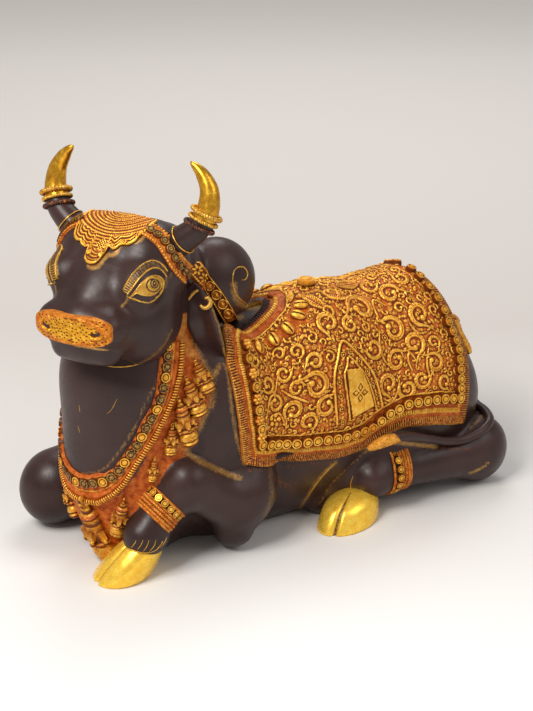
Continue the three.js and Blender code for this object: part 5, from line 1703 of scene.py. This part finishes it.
def hugging(centre, axis, radius, count, lift):
    """A ring of points on the hide round a leg, and their ways out."""
    axis = unit(axis)
    side = unit(np.cross(axis, UP))
    thick = np.cross(side, axis)
    t = turns(count)[:, None]
    way = np.cos(t) * side + np.sin(t) * thick
    skin_at = draped(hide, np.broadcast_to(centre, way.shape), way)
    reach = np.minimum(np.linalg.norm(skin_at - centre, axis=1), 1.2 * radius)
    for _ in range(12):
        reach = 0.5 * reach + 0.25 * (np.roll(reach, 3) + np.roll(reach, -3))
    points = centre + way * (reach + lift)[:, None]
    points[:, 2] = np.maximum(points[:, 2], 1.5)
    return points, way


def make_anklets(templates):
    """Anklets of cords and fillets with a row of rosettes."""
    for word, (centre, axis, radius) in ANKLETS.items():
        axis = unit(axis)
        cords = []
        for shift, thick, pitch, depth in ANKLET_CORDS:
            ring, _ = hugging(centre - axis * shift, axis, radius, ANKLET_STEPS, 1.0)
            cords.append(corded(ring, thick, pitch, 7, depth, closed=True))
        form_piece(f"anklet_cords_{word}", cords, carved, gilt=0.40, rust=0.9, grime=0.15)
        ring, way = hugging(centre - axis * 5.6, axis, radius, ANKLET_ROSETTES, 0.4)
        copied(templates["ring"], f"anklet_rosettes_{word}", [(p, w, axis, 0.72) for p, w in zip(ring, way)])


# Things carved on the head, drawn in the view on its left side and mirrored to its right

# The eye's patch, brow and lids
EYE_PATCH_LOW = [(124, 294), (131, 302), (141, 305), (150, 305.5), (158, 300), (164, 291), (169, 276)]
EYE_PATCH_HIGH = [(120.5, 289), (126.5, 278), (133.5, 268.5), (142, 261), (151, 257), (160, 259),
                  (169.5, 268.5)]
BROW_LINE = [(123.4, 290.7), (128.7, 281.4), (135.1, 272.1), (142.3, 265), (150.1, 260.9), (156.6, 261.4),
             (162.3, 265.5), (166.6, 270.7)]
BROW_UNDERLINE = [(128, 293.9), (133.7, 286.4), (139.4, 278.8), (145.9, 272.3), (152.3, 268.8), (158, 268.8),
                  (162.3, 272.1), (165.5, 276.4)]
UPPER_LID = [(130.1, 297.1), (135.9, 290), (142.3, 282.1), (148.7, 277.1), (155.1, 275.7), (160.1, 277.5),
             (162.3, 280)]
EYEBALL_LOW = [(132, 296), (136.5, 293), (141.6, 294.6), (148, 295.2), (153.7, 293.6), (158, 289.3),
               (160.9, 283.6), (162.3, 280)]
LOWER_LID = [(130.1, 297.1), (135.9, 299), (141.6, 301.1), (149.4, 301.8), (155.1, 297.9), (159.4, 292.9),
             (161.6, 286.4), (162.3, 280)]
IRIS = (151.8, 285.2)
PUPIL = (152.7, 283.6)
LINE_POINTS = 50
LASHES = 20
FRONT_LASHES = 7


def make_eyes():
    """A patch with the eyeball, its lids and the hatched brow, on both sides of the head."""
    columns, rows = ((126, 92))
    share = np.linspace(0, 1, rows)[None, :, None]
    low, high = smooth_path(EYE_PATCH_LOW, columns)[:, None], smooth_path(EYE_PATCH_HIGH, columns)[:, None]
    grid = low + (high - low) * share
    ground = Ground(grid[..., 0], grid[..., 1])
    x, y, where = ground.x, ground.y, np.arange(ground.x.size)
    line = lambda places: smooth_path(places, LINE_POINTS)
    ball = inside_outline(x, y, np.vstack([line(UPPER_LID), line(EYEBALL_LOW)[::-1]]))
    socket = inside_outline(x, y, np.vstack([line(UPPER_LID), line(LOWER_LID)[::-1]]))
    band = inside_outline(x, y, np.vstack([line(BROW_LINE), line(BROW_UNDERLINE)[::-1]]))
    lid = inside_outline(x, y, np.vstack([line(BROW_UNDERLINE), line(UPPER_LID)[::-1]]))
    q = ((x - IRIS[0]) / 12) ** 2 + ((y - IRIS[1]) / 9) ** 2
    swell = 1.0 + 1.5 * np.sqrt(np.clip(1 - q, 0, 1))
    ground.height = np.select([ball, socket, band, lid], [swell, 0.5, 1.6, 1.4], 0.0)
    gilt = np.select([ball, band], [0.8, 0.34], 0.0)
    grime = np.zeros(len(x))
    for path, width, height in ((BROW_LINE, 0.7, 2.5), (BROW_UNDERLINE, 0.6, 2.2), (UPPER_LID, 0.5, 2.0),
                                (EYEBALL_LOW, 0.5, 1.9), (LOWER_LID, 0.75, 2.2)):
        ground.ridge(line(path), width, height)
        gilt = np.where(ground.distance(line(path), np.full(LINE_POINTS, width), where) < 1, 0.9, gilt)
    # The grooves round the iris and the pupil are darkened with painted shade.
    for centre, rx, ry, width in ((IRIS, 6.1, 5.9, 0.62), (PUPIL, 3.4, 4.0, 0.62), (PUPIL, 1.3, 1.9, 0.7)):
        r = np.hypot((x - centre[0]) / rx, (y - centre[1]) / ry)
        groove = ball & (np.abs(r - 1) * min(rx, ry) < width)
        ground.height[groove] -= 0.6
        grime[groove] = 0.75
    outer, inner = line(BROW_LINE), line(BROW_UNDERLINE)
    for lash in range(LASHES):
        k = 2 * lash
        stroke = np.stack([outer[k] + 0.12 * (inner[k] - outer[k]),
                           outer[k] + 0.88 * (inner[k + 1] - outer[k])])
        fine = ground.distance(stroke, np.full(2, 0.42), where) < 1
        strong = lash < FRONT_LASHES
        ground.height[fine] += 0.5 if strong else 0.25
        gilt = np.where(fine, 0.7 if strong else 0.4, gilt)
    edge = np.minimum.reduce(np.broadcast_arrays(share[..., 0] * 8, (1 - share[..., 0]) * 8,
                                                 np.linspace(0, 12, columns)[:, None],
                                                 np.linspace(12, 0, columns)[:, None])).ravel()
    lift = (0.35 + ground.height) * np.clip(edge, 0, 1) - 0.8 * (edge < 0.5)
    halo = 0.55 * np.clip(1 - np.abs(edge - 1.5) / 1.5, 0, 1)
    gilt = np.maximum(gilt, halo * (ground.height < 0.1))
    base = looked_at(head, x, y)
    out = unit(slope(head, base))
    top, bottom = base + out * lift[:, None], base - out * 3
    for s, word in SIDE_WORDS:
        if s < 0:
            top, bottom = over_muzzle(top), over_muzzle(bottom)
        slab_piece(f"eye_{word}", top, bottom, grid.shape[:2], lacquered, gilt=gilt, rust=0, grime=grime)


# The brow plate's scalloped lower edge: yaw from straight ahead and pitch above level
BROW_EDGE = [(-78, 50), (-62, 44), (-50, 37), (-44, 32), (-40, 28), (-35, 26.5), (-31, 28), (-27, 25),
             (-22, 24), (-18, 26), (-15, 20), (-12.6, 14.8), (-8, 12), (-3, 11.4), (2, 12.6), (5, 18),
             (6.5, 26), (8, 30.5), (11, 28), (14, 26.6), (18, 28.5), (22, 32), (28, 31.6), (34, 31.8),
             (40, 34.4), (44, 38), (47, 39.5), (54, 42), (62, 46), (78, 50)]
BROW_TOP = 86
# The crown's radius, the spacing of the plate's lines there, and the curls: place and radius
CROWN_RADIUS = 62
CROWN_LINES = 3.9
BROW_CURLS = [(10.5, 31.5, 5.0), (-25, 28.5, 4.2), (-12, 22, 3.2), (3.0, 22, 3.0), (24, 37, 4.0),
              (38, 43, 4.2)]


def make_brow():
    """The scalloped plate over the brow: lines round its crown and along its edge, curls and a lozenge."""
    columns, rows = ((270, 96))
    yaw, share = np.meshgrid(np.linspace(-78, 78, columns), np.linspace(0, 1, rows), indexing="ij")
    low = np.interp(yaw, *np.array(BROW_EDGE, float).T)
    low = 0.5 * low + 0.25 * (np.roll(low, 2, 0) + np.roll(low, -2, 0))
    pitch = BROW_TOP + (low - BROW_TOP) * share
    p, q = np.radians(pitch.ravel()), np.radians(yaw.ravel())
    way = np.stack([np.cos(p) * np.cos(q), np.cos(p) * np.sin(q), np.sin(p)], -1) @ HEAD_AXES
    base = draped(head, np.broadcast_to(on_head(20, 0, 300), way.shape), way)
    grid = base.reshape(columns, rows, 3)
    step = np.linalg.norm(np.diff(grid, axis=1), axis=2)
    rise = np.concatenate([np.cumsum(step[:, ::-1], axis=1)[:, ::-1], np.zeros((columns, 1))], 1)
    v = rise.ravel()
    ground = Ground(np.radians(yaw) * np.cos(np.radians(pitch)) * CROWN_RADIUS,
                    np.radians(pitch) * CROWN_RADIUS)
    u, high = ground.x, ground.y
    rim = np.sqrt(np.clip(1 - ((v - 1.8) / 1.7) ** 2, 0, 1))
    by_edge = 0.5 + 0.5 * np.cos(2 * math.pi * (v - 1.8) / 3.5)
    by_crown = 0.5 + 0.5 * np.cos(2 * math.pi * high / CROWN_LINES)
    low_zone = (v < 15.5) & (high < 46)
    lines = np.where(low_zone, by_edge, by_crown)
    ring = np.floor(high / CROWN_LINES + 0.5)
    bead = np.sqrt(np.clip(np.cos(2 * math.pi * u / 2.6 + ring), 0, 1))
    beads = (~low_zone) * (ring % 2 == 0) * bead * by_crown
    lattice_cut = np.any([np.abs((across % 3.6) - 1.8) < 0.45 for across in (u + high, u - high)], 0)
    lozenge = np.abs(u + 2) / 7 + np.abs(high - 34) / 8 < 1
    ground.height = 1.3 + np.where(low_zone, 1.2, 0.7) * lines * (v > 3.4) + 0.8 * beads
    ground.height = np.where(lozenge, 2.3 - 0.7 * lattice_cut, ground.height)
    ground.height = np.maximum(ground.height, 1.5 + 1.6 * rim)
    for cx, cy, radius in BROW_CURLS:
        r = np.hypot(ground.x - cx, ground.y - cy)
        turn = np.arctan2(ground.y - cy, ground.x - cx)
        swell = 1.5 * np.sqrt(np.clip(1 - (r / radius) ** 2, 0, 1))
        curl = 1.0 + swell + 0.5 * np.cos(2 * math.pi * r / 2.3 - turn)
        ground.height = np.where(r < radius, 1.3 + curl, ground.height)
    height = np.where(v < 0.25, 0.2, ground.height)
    # Painted shade with grime in the plate's hollows, made half again as strong.
    gilt, grime = rubbed(height.reshape(columns, rows), 0.6, 0.34)
    gilt, grime = gilt.ravel() + 0.08 + 0.25 * lozenge + 0.1 * rim, 1.5 * grime.ravel()
    normal = unit(slope(head, base))
    slab_piece("brow_plate", base + normal * height[:, None], base - normal * 5, (columns, rows), carved,
               gilt=gilt, rust=0.9, grime=grime)


# The muzzle's pad: how far ahead of the poll its front and back lie, its height, half sizes and squareness
PAD_FRONT = 125.4
PAD_BACK = 104
PAD_HEIGHT = 266
PAD_WIDE = 39.5
PAD_HIGH = 13.6
PAD_SQUARE = 0.6
PAD_STEPS_BACK = 8


def make_pad():
    """The gold pad of the muzzle: a rounded panel with punched dots, a beaded edge and two nostrils."""
    rings, sides = ((58, 216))
    r = np.append(np.linspace(0.02, 1, rings - PAD_STEPS_BACK), np.ones(PAD_STEPS_BACK))
    back = np.append(np.zeros(rings - PAD_STEPS_BACK), np.linspace(1, 17, PAD_STEPS_BACK))[:, None]
    turn = turns(sides)
    w, z = (np.sign(f) * np.abs(f) ** PAD_SQUARE * half
            for f, half in ((np.cos(turn), PAD_WIDE), (np.sin(turn), PAD_HIGH)))
    u, v = r[:, None] * w, r[:, None] * z
    ground = Ground(u, v)
    dots = np.random.default_rng(11)
    places = []
    for _ in range(900):
        p = np.array([dots.uniform(-36, 36), dots.uniform(-11, 11)])
        if all(np.linalg.norm(p - q) > 2.7 for q in places):
            places.append(p)
    for x, y in places:
        ground.ridge([(x - 0.1, y), (x + 0.1, y)], 0.8, 0.9, cut=True)
    reach = (np.abs(ground.x / PAD_WIDE) ** (1 / PAD_SQUARE)
             + np.abs(ground.y / PAD_HIGH) ** (1 / PAD_SQUARE)) ** PAD_SQUARE
    border = np.clip(1 - np.abs(reach - 0.90) / 0.085, 0, 1)
    angle = np.arctan2(ground.y * 2.9, ground.x)
    ground.height += 0.8 * border ** 0.5 * (0.7 + 0.3 * np.sign(np.sin(angle * 42)))
    for s in SIDES:
        curve = smooth_path([(s * 22, -4.5), (s * 27.5, -4.8), (s * 31.5, -1.8), (s * 32, 2.2),
                             (s * 29, 4.8)], 30)
        ground.ridge(curve, 1.7, 1.7)
        hollow = smooth_path([(s * 22.5, -1.2), (s * 26.5, -1.2), (s * 28.6, 0.6)], 16)
        ground.ridge(hollow, 1.4, 1.5, cut=True)
    height = ground.height.reshape(u.shape)
    face = PAD_FRONT - 7.0 * (u / 38) ** 2 - 1.2 * (v / 13) ** 2
    t = face - back + height * (back == 0)
    points = POLL + np.stack([t, u, PAD_HEIGHT + v], -1).reshape(-1, 3) @ HEAD_AXES
    points = np.vstack([points, on_head(PAD_FRONT, 0, PAD_HEIGHT), on_head(PAD_BACK, 0, PAD_HEIGHT)])
    # Painted shade in the punched dots and the nostrils' hollows.
    grime = np.pad(np.clip(-2.2 * ground.height - 0.15, 0, 1), (0, 2))
    rim = np.pad(np.clip((reach - 0.55) / 0.35, 0, 1), (0, 2)) * 0.20
    form_piece("muzzle_pad", [(points, ring_faces(rings, sides))], worn, gilt=0.76 - 1.6 * rim, rust=0.9,
               grime=grime)


# The headband's line as places on the head
HEADBAND = [(42, 34, 339), (42, 42, 336), (42, 50, 330), (42, 56, 322), (40, 60, 314), (34, 62, 305),
            (24, 62, 297)]
# The garland behind the ear, drawn in the view
GARLAND = [(191, 266), (197, 273.5), (203.5, 280.5), (209.5, 287.5), (215.5, 295.5), (221, 304),
           (226.5, 313.5), (231.5, 323)]
GARLAND_WIDTH = 7.8
MEDALLION_STEP = 10.4
GARLAND_BEAD_STEP = 2.5
BAND_ROWS = 46
BAND_HALF = 8.5


def make_headband(templates):
    """A band from the brow past the horn, with dark cells between two rows of beads."""
    for s, word in SIDE_WORDS:
        path = smooth_path([on_head(t, w * s, z) for t, w, z in HEADBAND], BAND_ROWS)
        path = settled(path, head, 4)
        out = unit(slope(head, path))
        tangent = unit(np.gradient(path, axis=0))
        across = unit(np.cross(out, tangent))
        shares = np.linspace(-1, 1, 13)
        grid = path[:, None] + across[:, None] * (shares * BAND_HALF)[None, :, None]
        flat = settled(grid.reshape(-1, 3), head, 4)
        normal = unit(slope(head, flat))
        lift = np.tile(1.6 + (np.abs(np.abs(shares) - 0.85) < 0.12), len(path))
        slab_piece(f"headband_{word}", flat + normal * lift[:, None], flat - normal * 3,
                   grid.shape[:2], carved, gilt=0.35, rust=1.0, grime=0)
        cells = [int(2 + k * 41 / 7) for k in range(8)]
        copied(templates["dark_ring"], f"headband_cells_{word}",
               [(path[i] + out[i] * 1.6, out[i], tangent[i], 0.86) for i in cells])
        for edge, rim in ((1, "in"), (-1, "out")):
            line = settled(path[::2] + across[::2] * 8.0 * edge, head, 4)
            copied(templates["bead"], f"headband_beads_{word}_{rim}",
                   [(p + o * 2.2, o, UP, 1.3) for p, o in zip(line, out[::2])])


def make_garland():
    """A strap of oval medallions between a gold edge and a row of beads."""
    columns, rows = ((150, 38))
    line = smooth_path(GARLAND, columns)
    ahead = unit(np.gradient(line, axis=0))
    across = np.stack([-ahead[:, 1], ahead[:, 0]], -1)
    w = np.linspace(-GARLAND_WIDTH, GARLAND_WIDTH, rows)
    grid = line[:, None] + w[None, :, None] * across[:, None]
    run = run_along(line)
    along, wide = np.repeat(run, rows), np.tile(w, columns)
    ground = Ground(along.reshape(columns, rows), wide.reshape(columns, rows))
    for k in range(int(run[-1] // MEDALLION_STEP)):
        middle = 5.6 + MEDALLION_STEP * k
        if k < 2:
            for turn in range(0, 360, 60):
                a = math.radians(turn + 20)
                ground.dome(middle + 3.2 * math.cos(a), -1 + 3.4 * math.sin(a), 2.1, 1.3, 1.6, turn + 20)
        else:
            ground.dome(middle, -1.2, 4.9, 4.3, 1.3, 0)
            ground.ring(middle, -1.2, 4.2, 1.0, 2.4)
            ground.dome(middle, -1.2, 1.7, height=2.6)
    for k in range(int(run[-1] // GARLAND_BEAD_STEP)):
        ground.dome(1.2 + GARLAND_BEAD_STEP * k, 5.4, 1.15, height=1.8)
    ground.ridge([(0, -6.6), (run[-1], -6.6)], 0.7, 2.0)
    ends = np.minimum(along, run[-1] - along)
    edge = np.clip(np.minimum(GARLAND_WIDTH - np.abs(wide), ends) / 0.8, 0, 1)
    # Painted shade with grime in the relief's hollows, gold on its highs.
    gilt, grime = rubbed(ground.sheet(), 0.3, 0.52)
    seen = looked_at(hide, *grid.reshape(-1, 2).T)
    for word, base in (("left", seen), ("right", settled(over_muzzle(seen), hide, 8))):
        out = unit(slope(hide, base))
        slab_piece(f"garland_{word}", base + out * ((2.2 + ground.height) * edge)[:, None], base - out * 4,
                   (columns, rows), carved, gilt=gilt.ravel(), rust=0.9, grime=grime.ravel())


# The first strand of the tassel under the cloth's rear edge: how far back, and degrees from the spine
TASSEL = [(218, 29), (220, 31), (226, 40), (230, 48), (231.5, 51)]
TASSEL_STRANDS = 4
STRAND_POINTS = 40


def make_tassel():
    """A tassel of twisted strands hung from a short cord, on both sides of the rump."""
    for s, word in SIDE_WORDS:
        strands = []
        for k in range(TASSEL_STRANDS):
            x, degrees = np.array(TASSEL, float).T + np.array([[4.0 * k], [-k]])
            base = over_trunk(x, degrees, s)
            line = smooth_path(base + unit(slope(trunk, base)) * 2.5, STRAND_POINTS)
            swell = spread_values([1.8, 2.3, 1.7, 2.6, 3.3, 3.6, 2.0], STRAND_POINTS)
            strands.append(corded(line, swell, 5.0, 14, 0.16))
        form_piece(f"tassel_{word}", strands, carved, gilt=0.62, rust=0.6, grime=0.12)
        base = over_trunk(np.linspace(214, 234, 24), np.linspace(27, 25, 24), s)
        cord = corded(base + unit(slope(trunk, base)) * 2.6, 2.6, 2.4, 10, 0.3)
        form_piece(f"tassel_cord_{word}", [cord], carved, gilt=0.5, rust=0.7, grime=0.1)


# Gold lines drawn on the hide

# Lines seen on the left side, in the view's millimetres, and the mass that each lies on
JAW_LINE = [(97, 361.5), (101, 364), (108, 366), (120, 366.8), (132, 365.5), (142, 362.5), (150, 357.5),
            (157, 350.5)]
HUMP_LINES = [[(234.5, 270), (238, 267.3), (243, 267), (246.6, 270.5), (247.4, 275.5), (245, 279.5),
               (241.5, 280)],
              [(234.5, 270), (232.8, 277), (233, 285), (235.5, 293), (240, 299), (246, 303.5)]]
FORE_HAIRS = [[(155, 551), (160, 546), (163, 541)], [(149, 552), (154, 546), (156, 540)],
              [(143, 552), (147, 546), (149, 540)], [(137, 550), (141, 545), (143, 540)],
              [(160, 548), (164, 543), (167, 537)], [(131, 548), (135, 543), (136, 540)]]
FORE_RIM = [(118, 541), (124, 546), (132, 550), (141, 552.5), (150, 552.5), (158, 549)]
SCRATCHES = [[(107, 414), (112, 409), (117, 399)], [(79, 405), (80, 412)], [(78, 426), (80, 433)]]
HIND_RIM = [(353, 490), (358, 494), (366, 497), (376, 497)]
HIND_CREASES = [[(336.5, 462), (328, 470), (320, 479), (310, 493), (300, 508)],
                [(353, 476), (350.5, 484), (351, 490)]]
GOLD_LINES = [([JAW_LINE], 0.8, body), (HUMP_LINES, 0.75, body), (FORE_HAIRS, 0.42, hide),
              ([FORE_RIM], 0.7, hide), ([HIND_RIM], 0.6, hide), (HIND_CREASES, 0.6, hide),
              (SCRATCHES, 0.26, hide)]


def gold_line(places, width, field):
    """A fine line that tapers to both ends, where it is drawn on a mass."""
    x, y = smooth_path(places, 5 * len(places) + 6).T
    line = looked_at(field, x, y)
    line = line[np.abs(field(line)) < 0.5]
    return tube(line, width * np.sin(np.pi * np.linspace(0.06, 0.94, len(line))) ** 0.5, 6)


def make_lines():
    """All gold lines as one piece; the hump's curl is on both of its sides."""
    lines = [gold_line(places, width, field) for group, width, field in GOLD_LINES for places in group]
    for places in HUMP_LINES:
        points, faces = gold_line(places, 0.75, body)
        lines.append((points * (1, -1, 1), faces))
    form_piece("gold_lines", lines, lacquered, gilt=0.85, rust=0, grime=0)


make_hide()
make_head()
make_cloth()
make_borders()
templates = {"ring": model_ring_rosette("ring_rosette", 1.15, 0.8),
             "dark_ring": model_ring_rosette("dark_rosette", 0.62, 0.25),
             "flower": model_flower_rosette(), "cowrie": model_cowrie(), "bell": model_bell(),
             "bead": model_bead(), "knob": model_knob()}
make_cloth_ornaments(templates)
make_necklace(templates)
make_bells(templates)
make_horns()
make_ears()
make_tail()
make_hooves()
make_anklets(templates)
make_eyes()
make_brow()
make_pad()
make_headband(templates)
make_garland()
make_tassel()
make_lines()
for template in templates.values():
    bpy.data.objects.remove(template)


# Stage, light and camera

def pale_floor():
    """Pale paper with the light's fall-off painted on it: near white in front of the bull, a painted shade of
    warm grey behind it, lighter again farther back.
    """
    material = bpy.data.materials.new("pale_paper")
    material.use_nodes = True
    tree = material.node_tree
    shader = tree.nodes["Principled BSDF"]
    place = node(tree, "ShaderNodeTexCoord").outputs["Object"]
    a = VIEW["turn"]
    away = node(tree, "ShaderNodeVectorMath", {0: place, 1: (-math.sin(a), math.cos(a), 0)},
                operation="DOT_PRODUCT")
    share = between(tree, away.outputs["Value"], -0.5, 2.2)
    # Painted shade: the darker middle stops stand for the light falling off behind the bull.
    colour = ramp(tree, share, (0.0, (0.85, 0.845, 0.84)), (0.21, (0.60, 0.583, 0.565)),
                  (0.375, (0.545, 0.515, 0.49)), (1.0, (0.83, 0.795, 0.76)))
    tree.links.new(colour, shader.inputs["Base Color"])
    shader.inputs["Roughness"].default_value = 0.95
    shader.inputs["Specular IOR Level"].default_value = 0.1
    return material


def add_stage():
    """The floor of pale paper."""
    bpy.ops.mesh.primitive_plane_add(size=14, location=(0, 0, 0))
    floor = bpy.context.object
    floor.name = "floor"
    floor.data.materials.append(pale_floor())


def add_light(name, turn, rise, distance, size, power, colour):
    """A soft lamp that looks at the bull from a turn and a rise in degrees."""
    a, b = math.radians(turn), math.radians(rise)
    place = Vector((math.sin(a) * math.cos(b), -math.cos(a) * math.cos(b), math.sin(b))) * distance
    bpy.ops.object.light_add(type="AREA", location=place + Vector((0, 0, 0.15)))
    lamp = bpy.context.object
    lamp.name = name
    lamp.data.size = size
    lamp.data.energy = power
    lamp.data.color = colour
    lamp.rotation_euler = (-place).to_track_quat("-Z", "Y").to_euler()


SENSOR = 36
PICTURE_HIGH = 711


def add_camera():
    """The camera where the view looks from."""
    data = bpy.data.cameras.new("camera")
    data.lens = SENSOR * VIEW["distance"] / PICTURE_HIGH
    data.sensor_width = SENSOR
    data.sensor_fit = "AUTO"
    camera = bpy.data.objects.new("camera", data)
    bpy.context.scene.collection.objects.link(camera)
    camera.location = (VIEW_FROM - ORIGIN) * MM
    camera.rotation_euler = Vector(-VIEW_BACK).to_track_quat("-Z", "Y").to_euler()
    bpy.context.scene.camera = camera


# Each lamp: name, turn, rise, distance, size, power and colour
LAMPS = [("key", -75, 50, 2.4, 1.0, 44, (1.0, 0.97, 0.93)), ("fill", 30, 40, 2.6, 1.4, 15, (1.0, 0.98, 0.96)),
         ("back", 140, 55, 2.4, 1.2, 20, (1, 1, 1)), ("window", -62, 42, 2.0, 0.3, 7, (1.0, 0.98, 0.95))]
STUDIO_COLOUR = (0.86, 0.83, 0.81, 1)
STUDIO_STRENGTH = 0.52

add_stage()
for lamp in LAMPS:
    add_light(*lamp)
world = bpy.data.worlds.new("studio")
world.use_nodes = True
sky = world.node_tree.nodes["Background"].inputs
sky["Color"].default_value = STUDIO_COLOUR
sky["Strength"].default_value = STUDIO_STRENGTH
bpy.context.scene.world = world
add_camera()

bpy.context.scene.view_settings.view_transform = "Standard"
